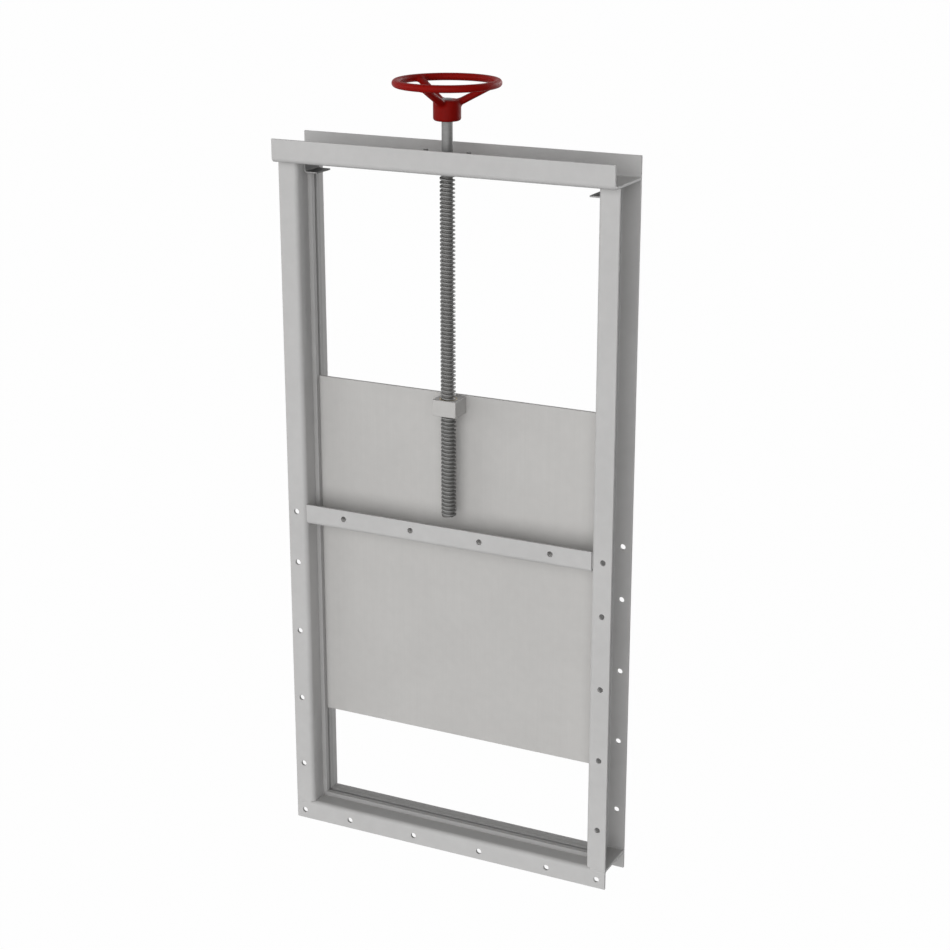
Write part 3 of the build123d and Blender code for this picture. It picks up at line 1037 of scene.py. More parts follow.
def threaded_rod(centre, crest, root, half_crest, half_root, pitch, bottom, top, hand, columns):
    """Points and faces of a threaded bar, longer than needed at both ends.

    crest and root are diameters. half_crest and half_root are half the thread's width at its top and at its
    foot, and each corner of that profile is cut by a small chamfer. The grid runs along the helix. A point in
    column j and row k is centre + (r cos a, r sin a, h), with a = 2 pi j / columns, h = hand * pitch * j /
    columns + the row's own height, and r from the row's place in the profile. One turn further, row k meets
    row k - hand * rows per pitch.
    """
    depth = (crest - root) / 2
    ease = 0.08 * depth
    slope = (half_root - half_crest) / depth
    half = np.array([
        [half_root + ease, root / 2],
        [half_root - ease * slope, root / 2 + ease],
        [half_crest + ease * slope, crest / 2 - ease],
        [half_crest - ease, crest / 2],
    ])
    profile = np.vstack([half * [-1, 1], half[::-1]])
    turns = int(math.ceil((top - bottom) / pitch)) + 3
    offsets = np.arange(turns)[:, None] * pitch + profile[None, :, 0]
    heights = (bottom - 1.5 * pitch + offsets).ravel()[:, None]
    radii = np.tile(profile[:, 1], turns)[:, None]
    share = np.arange(columns) / columns
    angle = 2 * math.pi * share
    points = np.stack([radii * np.cos(angle), radii * np.sin(angle), heights + hand * pitch * share], -1)
    numbers = numbered(points)
    shift = hand * len(profile)
    rows = np.arange(len(numbers) - 1)
    rows = rows[(rows + shift >= 0) & (rows + shift < len(numbers) - 1)]
    after = rows + shift
    seam = np.stack([numbers[rows, -1], numbers[after, 0], numbers[after + 1, 0], numbers[rows + 1, -1]], -1)
    return np.asarray(centre) + points.reshape(-1, 3), [strips(numbers), seam]


def washer_surface(centre, bore, diameter, thickness, turns=48):
    """Points and faces of a flat washer with eased rims."""
    corners = [(bore, 0), (diameter / 2, 0), (diameter / 2, thickness), (bore, thickness)]
    return ring_surface(corners, centre, WASHER_EASE, turns)


# Frame


HOUSING_BOLT_SPACING = 86 * MM
BEARING_BOLT_HOLE = 11 * MM
SHAFT_HOLE = 21 * MM
SHAFT_RADIUS = 10 * MM
GUIDE_EASE = 0.4 * MM
FLANGE_CELL = 0.9


def spindle_axis():
    """Where the spindle's axis stands, seen from above."""
    low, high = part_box("spindle")
    return (low[0] + high[0]) / 2, (low[1] + high[1]) / 2


def turned_piece(cad_node, bore_radius, ease):
    """A ring round the spindle's axis, its outside and its height taken from the CAD node it stands for."""
    low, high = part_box(cad_node)
    outer, height = (high[0] - low[0]) / 2, high[2] - low[2]
    corners = [(bore_radius, 0), (outer, 0), (outer, height), (bore_radius, height)]
    x, y = spindle_axis()
    return new_piece(cad_node + "_turned", *ring_surface(corners, (x, y, low[2]), ease))


def bolt_line(length):
    """Places of the bolt holes along one side of the flange, from corner to corner."""
    sheets = bpy.context.scene.damper_sheets
    pitch = (length - 2 * sheets.end_pitch) / (sheets.bolts_per_side - 3)
    inner = [sheets.end_pitch + step * pitch for step in range(sheets.bolts_per_side - 2)]
    return [0, *inner, length]


def flange_holes(flat, across, places):
    """Bolt holes in one flange, at one distance across it."""
    diameter = bpy.context.scene.damper_sheets.bolt_hole
    return [Hole(flat, across, place, diameter / 2, diameter * FLANGE_CELL) for place in places]


def folded_piece(cad_node, corners, origin, basis, length, holes):
    """One folded sheet of the frame, standing for its CAD node."""
    sheets = bpy.context.scene.damper_sheets
    sheet = FoldedSheet(corners, length, sheets.thickness, sheets.bend_radius, sheets.edge_radius, holes)
    piece = sheet_piece(cad_node + "_folded", sheet, origin, *basis)
    finish(piece, finishes["frame"], "frame", "frame_steel", cad_node)


def level_piece(cad_node, corners, holes):
    """A folded sheet that runs from left to right, its corners given as (y, z)."""
    low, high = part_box(cad_node)
    folded_piece(cad_node, corners, (low[0], 0, 0), (BACK, UP, RIGHT), high[0] - low[0], holes)


def make_post(cad_node, side):
    """A post: a channel on end, its web towards the opening and its flanges outwards."""
    edge = bpy.context.scene.damper_sheets.bolt_edge
    low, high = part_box(cad_node)
    inner_x = high[0] if side < 0 else low[0]
    outer_x = low[0] if side < 0 else high[0]
    front, rear = low[1], high[1]
    corners = [(outer_x, front), (inner_x, front), (inner_x, rear), (outer_x, rear)][:: -side]
    lowest_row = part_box("bottom_channel")[0][2] + edge
    highest_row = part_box("front_cross_angle")[1][2] - edge
    rows = [lowest_row + place - low[2] for place in bolt_line(highest_row - lowest_row)[1:]]
    holes = flange_holes(0, edge, rows) + flange_holes(2, high[0] - low[0] - edge, rows)
    folded_piece(cad_node, corners, (0, 0, low[2]), (RIGHT, BACK, UP), high[2] - low[2], holes)


def make_bottom_channel():
    """The sill: a channel lying open downwards."""
    edge = bpy.context.scene.damper_sheets.bolt_edge
    low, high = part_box("bottom_channel")
    corners = [(high[1], low[2]), (high[1], high[2]), (low[1], high[2]), (low[1], low[2])]
    columns = [edge + place for place in bolt_line(high[0] - low[0] - 2 * edge)]
    holes = flange_holes(0, edge, columns) + flange_holes(2, high[2] - low[2] - edge, columns)
    level_piece("bottom_channel", corners, holes)


def make_top_channel():
    """The head: a deeper channel open upwards, bored for the spindle and the bearing studs."""
    low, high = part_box("top_channel")
    corners = [(low[1], high[2]), (low[1], low[2]), (high[1], low[2]), (high[1], high[2])]
    across = spindle_axis()[1] - low[1]
    middle = (high[0] - low[0]) / 2
    cell = HOUSING_BOLT_SPACING / 4
    holes = [Hole(1, across, middle, SHAFT_HOLE / 2, cell)]
    for side in (-1, 1):
        place = middle + side * HOUSING_BOLT_SPACING / 2
        holes.append(Hole(1, across, place, BEARING_BOLT_HOLE / 2, cell))
    level_piece("top_channel", corners, holes)


def make_cross_angle(cad_node, face):
    """An angle across the opening: its upright is bored for bolts, and its leg points to the blade."""
    edge = bpy.context.scene.damper_sheets.bolt_edge
    low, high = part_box(cad_node)
    outer_y = low[1] if face < 0 else high[1]
    inner_y = high[1] if face < 0 else low[1]
    corners = [(outer_y, high[2]), (outer_y, low[2]), (inner_y, low[2])][:: -face]
    upright = 0 if face < 0 else 1
    across = edge if face < 0 else high[2] - low[2] - edge
    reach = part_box("bottom_channel")[1][0] - edge
    columns = [place - reach - low[0] for place in bolt_line(2 * reach)[1:-1]]
    level_piece(cad_node, corners, flange_holes(upright, across, columns))


def make_stop_plate(cad_node, side):
    """A stop plate: a small folded angle under the head, its leg over the guide bars."""
    sheets = bpy.context.scene.damper_sheets
    low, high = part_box(cad_node)
    wall, tip = (low[0], high[0]) if side < 0 else (high[0], low[0])
    corners = [(wall, high[2]), (wall, low[2]), (tip, low[2])][:: -side]
    length = high[1] - low[1]
    sheet = FoldedSheet(corners, length, sheets.stop_thickness, sheets.stop_bend, sheets.edge_radius)
    piece = sheet_piece(cad_node + "_folded", sheet, (0, low[1], 0), RIGHT, UP, BACK)
    # The stop plates are painted dark as painted shade under the head.
    finish(piece, finishes["stops"], "frame", "frame_steel", cad_node)


class DAMPER_OT_frame(bpy.types.Operator):
    """Folded posts, channels and cross angles, with their bolt holes"""

    bl_idname = "damper.frame"
    bl_label = "Folded Frame"

    def execute(self, context):
        make_post("left_post", -1)
        make_post("right_post", 1)
        make_bottom_channel()
        make_top_channel()
        make_cross_angle("front_cross_angle", -1)
        make_cross_angle("rear_cross_angle", 1)
        return {"FINISHED"}


class DAMPER_OT_guides(bpy.types.Operator):
    """Guide bars, sill bars and stop plates"""

    bl_idname = "damper.guides"
    bl_label = "Guides and Stops"

    def execute(self, context):
        bars = [f"{side}_{face}_guide" for side in ("left", "right") for face in ("front", "rear")]
        bars += ["front_sill_bar", "rear_sill_bar"]
        for bar in bars:
            finish(eased_copy(bar, GUIDE_EASE), finishes["bars"], "frame", "frame_steel", bar)
        make_stop_plate("left_stop_plate", -1)
        make_stop_plate("right_stop_plate", 1)
        return {"FINISHED"}


# Welds


WELD_LEG = 3 * MM
WELD_STEP = 0.45 * MM
WELD_RIPPLE = 1.8 * MM
BEAD_SINK = 1.2 * MM
BEAD_BACK = 0.3 * MM
BEAD_LAG = 0.8 * MM
BEAD_BODY = 0.94
BEAD_RIPPLE = 0.10
POST_WELD_END = 2 * MM
ANGLE_WELD_END = 1.5 * MM
GROOVE_START = 1.1 * MM
GROOVE_BACK = 5.4 * MM
GROOVE_GAP = 0.2 * MM
GROOVE_SINK = 0.3 * MM
GROOVE_LAG = 0.7 * MM
GROOVE_SWELL = 0.42 * MM


def weld_line(runs, bend):
    """Places, left-hand normals and running length along straight runs with quarter turns between them.

    The heading rises by a quarter turn over each bend and is level on the runs, and the place is the running
    sum of the steps along it.
    """
    arc = math.pi / 2 * bend
    lengths = [runs[0]]
    for run in runs[1:]:
        lengths += [arc, run]
    knots = np.concatenate([[0], np.cumsum(lengths)])
    turns = np.repeat(np.arange(len(runs)), 2) * math.pi / 2
    length = np.linspace(0, knots[-1], int(knots[-1] / WELD_STEP))
    heading = np.interp(length, knots, turns)
    middle = (heading[1:] + heading[:-1]) / 2
    steps = np.diff(length)[:, None] * np.stack([np.cos(middle), np.sin(middle)], -1)
    places = np.vstack([[0, 0], np.cumsum(steps, axis=0)])
    return places, np.stack([-np.sin(heading), np.cos(heading)], -1), length


def weld_bead(runs, bend, origin, basis, phase):
    """Mesh of a fillet weld along a line in one plane, rising from it along the third axis.

    At the angle a from the plane, the bead's skin lies leg (1 + sin 2a / 6) / (cos a + sin a) from the joint,
    times its ripples, |sin| along the line, bent back in the middle of the bead, and times two slow waves.
    The leg shrinks over a quarter circle at both ends, and the underside is sunk into the metal.
    """
    places, normals, length = weld_line(runs, bend)
    a = np.linspace(0, math.pi / 2, 9)
    reach = WELD_LEG * (1 + np.sin(2 * a) / 6) / (np.cos(a) + np.sin(a))
    lag = BEAD_LAG * np.sin(2 * a)
    waves = 0.08 * np.sin(length / (11 * MM) + phase) + 0.05 * np.sin(length / (4.3 * MM) + 2 * phase)
    ripple = abs(np.sin(math.pi * (length[:, None] + lag) / WELD_RIPPLE + phase))
    end = np.minimum(length, length[-1] - length)[:, None] / WELD_LEG
    taper = np.sqrt(np.clip(1 - (1 - np.clip(end, 0.02, 1)) ** 2, 0, 1))
    skin = reach * (BEAD_BODY + BEAD_RIPPLE * ripple + waves[:, None]) * taper
    toe = skin[:, :1]
    sunk = np.stack([0 * toe - BEAD_BACK, 0 * toe - BEAD_SINK], -1)
    under = np.stack([0.9 * toe, 0 * toe - BEAD_SINK], -1)
    section = np.concatenate([np.stack([skin * np.cos(a), skin * np.sin(a)], -1), sunk, under], 1)
    flat = places[:, None] + section[..., :1] * normals[:, None]
    points = np.concatenate([flat, section[..., 1:]], -1)
    return mesh_of(stand(points.reshape(-1, 3), origin, *basis), capped(numbered(points)))


def groove_fill(length, outer_bend, origin, basis, phase):
    """Mesh of a weld that fills the groove between a flange's flat end and the round bend it stands on.

    Across the groove a point is (depth from the outer face, height from the flange's end). The bend is
    R (1 - cos t, 1 - sin t), with the angle t from its outer side. The skin runs from the flange's end to the
    bend and stands out by a half wave, with ripples along the groove. At the inner end it sinks away along a
    quarter circle.
    """
    along = np.linspace(0, length, int(length / WELD_STEP))
    q = np.linspace(0, 1, 8)
    turn = np.radians([24, 34, 48, 66])
    first = np.array([GROOVE_START, -GROOVE_GAP])
    last = outer_bend * (1 - np.array([math.cos(turn[0]), math.sin(turn[0])]))
    skin = first + q[:, None] * (last - first)
    hump = np.sin(math.pi * q)
    ripple = abs(np.sin(math.pi * (along[:, None] + GROOVE_LAG * hump) / WELD_RIPPLE + phase))
    swell = GROOVE_SWELL * hump * (0.35 + 0.9 * ripple)
    left = np.clip((length - along[:, None]) / WELD_LEG, 0, 1)
    depth = skin[:, 0] - swell + WELD_LEG * (1 - np.sqrt(1 - (1 - left) ** 2))
    lines = np.stack([depth, skin[:, 1] + 0 * swell, along[:, None] + 0 * swell], -1)
    arc = outer_bend - (outer_bend - GROOVE_SINK) * np.stack([np.cos(turn), np.sin(turn)], -1)
    hidden = np.vstack([arc, [[GROOVE_BACK, -GROOVE_GAP]]])
    rows = np.broadcast_to(hidden, (len(along), *hidden.shape))
    level = np.broadcast_to(along[:, None, None], (len(along), len(hidden), 1))
    points = np.concatenate([lines, np.concatenate([rows, level], -1)], 1)
    return mesh_of(stand(points.reshape(-1, 3), origin, *basis), capped(numbered(points)))


def post_welds(level, rise):
    """Beads round the inside of both posts at one level, which rise up or down from it."""
    sheets = bpy.context.scene.damper_sheets
    low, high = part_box("left_post")
    inset, bend = sheets.thickness, sheets.bend_radius
    reach = high[0] - low[0] - inset - bend - POST_WELD_END
    depth = high[1] - low[1] - 2 * (inset + bend)
    start = low[0] + POST_WELD_END
    meshes = []
    for side in (1, -1):
        origin = (side * start, low[1] + inset, level)
        basis = (side * RIGHT, BACK, rise * UP)
        meshes.append(weld_bead([reach, depth, reach], bend, origin, basis, side + rise))
    return meshes


def angle_welds(cad_node, face):
    """Beads inside both ends of a cross angle, down its upright and along its leg."""
    sheets = bpy.context.scene.damper_sheets
    low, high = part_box(cad_node)
    inset, bend = sheets.thickness, sheets.bend_radius
    upright = high[2] - low[2] - inset - bend - ANGLE_WELD_END
    leg = high[1] - low[1] - inset - bend - ANGLE_WELD_END
    inner = low[1] + inset if face < 0 else high[1] - inset
    meshes = []
    for end, way in ((low[0], 1), (high[0], -1)):
        origin = (end, inner, high[2] - ANGLE_WELD_END)
        basis = (-UP, -face * BACK, way * RIGHT)
        meshes.append(weld_bead([upright, leg], bend, origin, basis, way + face))
    return meshes


def groove_welds():
    """Filled grooves where the posts' flanges meet the rounded corners of the sill and of the head."""
    sheets = bpy.context.scene.damper_sheets
    low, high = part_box("left_post")
    outer_bend = sheets.bend_radius + sheets.thickness
    length = high[0] - low[0] - outer_bend + POST_WELD_END
    grooves = [(low[1], BACK, low[2], -UP), (high[1], -BACK, low[2], -UP), (high[1], -BACK, high[2], UP)]
    meshes = []
    for side in (1, -1):
        for number, (face, inward, level, rise) in enumerate(grooves):
            origin = (side * low[0], face, level)
            basis = (inward, rise, side * RIGHT)
            meshes.append(groove_fill(length, outer_bend, origin, basis, side + number))
    return meshes


class DAMPER_OT_welds(bpy.types.Operator):
    """Welds at the posts' feet and tops and at the ends of the cross angles"""

    bl_idname = "damper.welds"
    bl_label = "Welds"

    def execute(self, context):
        low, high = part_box("left_post")
        beads = {
            "foot_welds": post_welds(low[2], 1),
            "head_welds": post_welds(high[2], -1),
            "groove_welds": groove_welds(),
            "cross_angle_welds": angle_welds("front_cross_angle", -1) + angle_welds("rear_cross_angle", 1),
        }
        for name, meshes in beads.items():
            finish(joined_piece(name, meshes, 50), finishes["frame"], "frame", "frame_steel")
        return {"FINISHED"}


# Bearing


BOLT_DIAMETER = 10 * MM
BOLT_FLATS = 17 * MM
BOLT_PITCH = 1.5 * MM
BOLT_ROOT = BOLT_DIAMETER - 1.23 * BOLT_PITCH
BOLT_HALF_CREST = BOLT_PITCH / 16
BOLT_HALF_ROOT = BOLT_PITCH * 0.46
BOLT_STAND_OUT = 9.6 * MM
NUT_HEIGHT = 8.4 * MM
WASHER_DIAMETER = 20 * MM
WASHER_THICKNESS = 2 * MM
WASHER_PLAY = 0.25 * MM
PLUG_RECESS = 0.3 * MM
PLUG_HEIGHT = 3 * MM
PLUG_CENTRE = 0.1 * MM
RUNNING_GAP = 0.1 * MM


def bearing_stud(name, x, y):
    """A stud welded flush into the web, up through the bearing housing, with a washer and a nut on top."""
    housing_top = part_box("thrust_housing")[1][2]
    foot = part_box("top_channel")[0][2] + PLUG_RECESS
    nut_bottom = housing_top + WASHER_THICKNESS
    nut_top = nut_bottom + NUT_HEIGHT
    tip = nut_top + BOLT_STAND_OUT
    axis, radius = (x, y, 0), BOLT_DIAMETER / 2
    rod = threaded_rod(
        axis, BOLT_DIAMETER, BOLT_ROOT, BOLT_HALF_CREST, BOLT_HALF_ROOT, BOLT_PITCH, foot, tip, 1, 32
    )
    plug_radius, plug_top = BEARING_BOLT_HOLE / 2, foot + PLUG_HEIGHT
    plug = [(PLUG_CENTRE, foot), (plug_radius, foot), (plug_radius, plug_top), (PLUG_CENTRE, plug_top)]
    shells = [
        hexagon_block(axis, BOLT_FLATS, nut_bottom, nut_top, radius),
        ring_surface(plug, axis, PLUG_RECESS / 4, 48),
        washer_surface((x, y, housing_top), radius + WASHER_PLAY, WASHER_DIAMETER, WASHER_THICKNESS),
    ]
    meshes = [trimmed(*rod, foot + PLUG_RECESS, tip)] + [mesh_of(*shell) for shell in shells]
    # The studs take the zinc darkened as painted shade.
    finish(joined_piece(name, meshes), finishes["dark"], "frame", "spindle_steel")


class DAMPER_OT_bearing(bpy.types.Operator):
    """Thrust housing on the head, its washer, and its studs with nuts"""

    bl_idname = "damper.bearing"
    bl_label = "Spindle Bearing"

    def execute(self, context):
        housing = linked("thrust_housing_machined", sharpened(merged_copy("thrust_housing")))
        finish(housing, finishes["frame"], "frame", "housing_steel", "thrust_housing")
        washer = turned_piece("thrust_washer", SHAFT_RADIUS + RUNNING_GAP, WASHER_EASE)
        finish(washer, finishes["shaft"], "frame", "spindle_steel", "thrust_washer")
        x, y = spindle_axis()
        bearing_stud("left_bearing_stud", x - HOUSING_BOLT_SPACING / 2, y)
        bearing_stud("right_bearing_stud", x + HOUSING_BOLT_SPACING / 2, y)
        return {"FINISHED"}


# Spindle


SHOULDER_GAP = 0.5 * MM
SHAFT_START = 0.2 * MM
END_CHAMFER = 1.5 * MM
COLLAR_EASE = 0.4 * MM
KEY_EASE = 0.3 * MM


class DAMPER_OT_spindle(bpy.types.Operator):
    """Screw with its left-hand thread, the shaft above it, the collar and the key"""

    bl_idname = "damper.spindle"
    bl_label = "Screw Spindle"

    def execute(self, context):
        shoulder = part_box("thrust_washer")[0][2] - SHOULDER_GAP
        thread = self.thread(context.scene.damper_screw, shoulder)
        piece = linked("screw_thread", sharpened(thread, 40))
        finish(piece, finishes["screw"], "spindle", "spindle_steel", "spindle")
        piece = linked("spindle_shaft", sharpened(self.shaft(shoulder + SHAFT_START)))
        finish(piece, finishes["shaft"], "spindle", "spindle_steel", "spindle")
        piece = turned_piece("thrust_collar", SHAFT_RADIUS, COLLAR_EASE)
        finish(piece, finishes["shaft"], "spindle", "spindle_steel", "thrust_collar")
        piece = eased_copy("wheel_key", KEY_EASE)
        finish(piece, finishes["shaft"], "spindle", "spindle_steel", "wheel_key")
        return {"FINISHED"}

    def thread(self, screw, shoulder):
        """The left-hand thread, held within a 45 degree cone at its lower end."""
        x, y = spindle_axis()
        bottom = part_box("spindle")[0][2]
        half_crest = screw.crest_width / 2
        half_root = half_crest + math.tan(screw.flank_angle) * (screw.crest - screw.root) / 2
        points, faces = threaded_rod(
            (x, y, 0), screw.crest, screw.root, half_crest, half_root, screw.pitch, bottom, shoulder, -1, 56
        )
        radius = np.hypot(points[:, 0] - x, points[:, 1] - y)
        cone = screw.crest / 2 - END_CHAMFER + np.maximum(points[:, 2] - bottom, 0)
        share = np.minimum(radius, cone) / radius
        points[:, :2] = (x, y) + (points[:, :2] - (x, y)) * share[:, None]
        return trimmed(points, faces, bottom, shoulder)

    def shaft(self, bottom):
        """The part of the spindle above the screw, cut from a copy of the CAD bar."""
        mesh = merged_copy("spindle")
        work = bmesh.new()
        work.from_mesh(mesh)
        cut_off(work, bottom, -1)
        work.to_mesh(mesh)
        work.free()
        return mesh


# Handwheel


KEY_WIDTH = 6 * MM
KEY_REACH = 12.5 * MM
BORE_EASE = 0.6 * MM
ROUNDING = 1.0001


def smooth_least(first, second, reach):
    """The lesser of two distances, less reach h h / 4 where they differ by less than the reach.

    h is the share of the reach that is left between them. The two surfaces then meet in a fillet, and each
    stays as it is further off.
    """
    share = np.clip(reach - abs(first - second), 0, None) / reach
    return np.minimum(first, second) - share * share * reach / 4


class CastWheel:
    """Distances and surfaces of the handwheel, about the foot of its hub."""

    FINE, COARSE = 0.45 * MM, 3 * MM
    DENSE, INWARD, OUTWARD = 24 * MM, 10 * MM, 3 * MM
    TIP_ROUND = 6 * MM
    HAIR = 0.06 * MM

    def __init__(self, wheel, radius, height):
        self.wheel = wheel
        self.rim_radius = radius - wheel.rim_thickness / 2
        self.rim_height = height - wheel.rim_thickness / 2

    def rim_distance(self, places):
        """Distance from a ring of round section: hypot(r - rim radius, z - rim height) - half thickness."""
        radius = np.hypot(places[..., 0], places[..., 1]) - self.rim_radius
        return np.hypot(radius, places[..., 2] - self.rim_height) - self.wheel.rim_thickness / 2

    def hub_distance(self, places):
        """Distance from a cylinder with rounded ends: that from a smaller one, less the fillet's radius."""
        wheel = self.wheel
        radius = np.hypot(places[..., 0], places[..., 1]) - (wheel.hub_diameter / 2 - wheel.hub_fillet)
        half = wheel.hub_height / 2
        level = abs(places[..., 2] - half) - (half - wheel.hub_fillet)
        outside = np.hypot(np.maximum(radius, 0), np.maximum(level, 0))
        return outside + np.minimum(np.maximum(radius, level), 0) - wheel.hub_fillet

    def spoke(self, turn, rounds=56):
        """Points and faces of one spoke: an oval cone that flares into the hub and the rim.

        On the grid, s runs along the spoke's axis, in fine steps near both ends, and a round it. A ray leaves
        the axis at each (s, a), square to the axis, and the point is where the ray first leaves the smooth
        union of the spoke, the hub and the rim, found by steps and then by halving. The hub and the rim are
        taken a hair smaller there, so the flare ends just under their skin.
        """
        wheel = self.wheel
        out = np.array([math.cos(turn), math.sin(turn), 0])
        across = np.array([-math.sin(turn), math.cos(turn), 0])
        root_radius = (wheel.hub_diameter - wheel.root_thickness) / 2
        root = root_radius * out + (wheel.hub_height - wheel.root_thickness / 2) * UP
        tip = self.rim_radius * out + self.rim_height * UP
        length = np.linalg.norm(tip - root)
        along = (tip - root) / length
        rise = np.cross(across, along)
        near_hub = np.arange(-self.INWARD, self.DENSE, self.FINE)
        between = np.arange(self.DENSE, length - self.DENSE, self.COARSE)
        near_rim = length - np.arange(-self.OUTWARD, self.DENSE, self.FINE)[::-1]
        s = np.concatenate([near_hub, between, near_rim])[:, None]
        a = np.linspace(0, 2 * math.pi, rounds, endpoint=False)[None]
        ray = np.cos(a)[..., None] * across + np.sin(a)[..., None] * rise
        share = s / length
        half_width = (wheel.root_width + (wheel.tip_width - wheel.root_width) * share) / 2
        half_depth = (wheel.root_thickness + (wheel.tip_thickness - wheel.root_thickness) * share) / 2
        oval = 1 / np.hypot(np.cos(a) / half_width, np.sin(a) / half_depth)
        widest = oval + 3 * wheel.blend
        ending = np.clip((s - length + self.TIP_ROUND) / (self.TIP_ROUND + self.OUTWARD), 0, 1)
        oval = oval * np.sqrt(1 - ending**2)
        axis = root + s[..., None] * along

        def gap(reach):
            """How far outside the smooth union a ray's point lies."""
            places = axis + reach[..., None] * ray
            joint = smooth_least(reach - oval, self.hub_distance(places) + self.HAIR, wheel.blend)
            return smooth_least(joint, self.rim_distance(places) + self.HAIR, wheel.blend)

        marks = np.linspace(0, 1, 49)[:, None, None] * widest
        outside = gap(marks) > 0
        first = np.where(outside.any(0), outside.argmax(0), len(marks) - 1)[None]
        near = np.take_along_axis(marks, first - 1, 0)[0]
        far = np.take_along_axis(marks, first, 0)[0]
        for _ in range(12):
            middle = (near + far) / 2
            inside = gap(middle) < 0
            near, far = np.where(inside, middle, near), np.where(inside, far, middle)
        points = axis + near[..., None] * ray
        return points.reshape(-1, 3), capped(numbered(near))

    def rim(self, rounds=160, sides=36):
        """Points and faces of the rim: a circle carried round the wheel's axis."""
        b = np.linspace(0, 2 * math.pi, sides, endpoint=False)
        half = self.wheel.rim_thickness / 2
        profile = np.stack([self.rim_radius + half * np.cos(b), self.rim_height + half * np.sin(b)], -1)
        rings = turned_points(profile, (0, 0, 0), rounds)
        return rings.reshape(-1, 3), looped(numbered(rings))

    def hub(self, bore, key_bottom):
        """Points and faces of the hub: a turned profile whose bore has a keyway at the rear.

        Within the key's width the bore's radius is the lesser of half the key's width over cos a and the
        key's reach over sin a, and elsewhere it is the shaft's.
        """
        wheel = self.wheel
        half_key = KEY_WIDTH / 2
        corners = np.array([math.acos(half_key / bore), math.atan2(KEY_REACH, half_key)])
        evenly = np.linspace(0, 2 * math.pi, 96, endpoint=False)
        angles = np.unique(np.concatenate([evenly, corners, math.pi - corners]))
        cosine, sine = np.cos(angles), np.sin(angles)
        in_keyway = (sine > 0) & (abs(cosine) * bore <= half_key * ROUNDING)
        with np.errstate(divide="ignore"):
            keyway = np.minimum(half_key / abs(cosine), KEY_REACH / np.maximum(sine, 0))
        keyed = np.where(in_keyway, np.maximum(bore, keyway), bore)
        plain = np.full(len(angles), bore)
        half, top, fillet = wheel.hub_diameter / 2, wheel.hub_height, wheel.hub_fillet
        turn = quarter(8, True)
        upper = np.stack([half - fillet + fillet * np.sin(turn), top - fillet + fillet * np.cos(turn)], -1)
        lower = np.stack([upper[::-1, 0], top - upper[::-1, 1]], -1)
        rows = [(keyed + BORE_EASE, top)]
        rows += [(np.full(len(angles), radius), height) for radius, height in np.concatenate([upper, lower])]
        rows += [(plain + BORE_EASE, 0), (plain, BORE_EASE), (plain, key_bottom)]
        rows += [(keyed, key_bottom), (keyed, top - BORE_EASE)]
        rings = [np.stack([radii * cosine, radii * sine, 0 * radii + height], -1) for radii, height in rows]
        points = np.stack(rings)
        return points.reshape(-1, 3), looped(numbered(points))


class DAMPER_OT_handwheel(bpy.types.Operator):
    """Cast handwheel: a keyed hub and a round rim above it on flared spokes"""

    bl_idname = "damper.handwheel"
    bl_label = "Handwheel"

    def execute(self, context):
        wheel = context.scene.damper_wheel
        low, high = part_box("handwheel")
        cast = CastWheel(wheel, (high[0] - low[0]) / 2, high[2] - low[2])
        shells = [cast.rim(), cast.hub(SHAFT_RADIUS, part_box("wheel_key")[0][2] - low[2])]
        for spoke in range(wheel.spoke_count):
            shells.append(cast.spoke(wheel.first_spoke + spoke * 2 * math.pi / wheel.spoke_count))
        foot = np.array([*spindle_axis(), low[2]])
        meshes = [mesh_of(points + foot, faces) for points, faces in shells]
        piece = joined_piece("handwheel_cast", meshes, 40)
        finish(piece, finishes["enamel"], "spindle", "wheel_enamel", "handwheel")
        return {"FINISHED"}


# Blade


BLADE_SCREW_HOLE = 9 * MM
BLADE_SCREW_EDGE = 7 * MM
BLADE_SCREW_CELL = 0.75
SCREW_FLATS = 13 * MM
SCREW_HEAD = 5.3 * MM
SCREW_CORE = 1 * MM
SCREW_WASHER = 16 * MM
SCREW_WASHER_THICKNESS = 1.6 * MM
BLOCK_EASE = 0.6 * MM
NUT_EASE = 0.5 * MM
NUT_MARGIN = 0.9 * MM


def block_screw_places():
    """Centres of the four screws of the nut block, across and up."""
    low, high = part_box("nut_block")
    across = (low[0] + BLADE_SCREW_EDGE, high[0] - BLADE_SCREW_EDGE)
    rows = (low[2] + BLADE_SCREW_EDGE, high[2] - BLADE_SCREW_EDGE)
    return [(x, z) for x in across for z in rows]


def block_screw(x, y, z):
    """Meshes of a hexagon screw head and its washer, standing on the rear of the blade at y."""
    head_low = SCREW_WASHER_THICKNESS
    shells = [
        washer_surface((0, 0, 0), SCREW_CORE, SCREW_WASHER, head_low, 40),
        hexagon_block((0, 0, 0), SCREW_FLATS, head_low, head_low + SCREW_HEAD),
    ]
    return [mesh_of(stand(points, (x, y, z), RIGHT, UP, BACK), faces) for points, faces in shells]


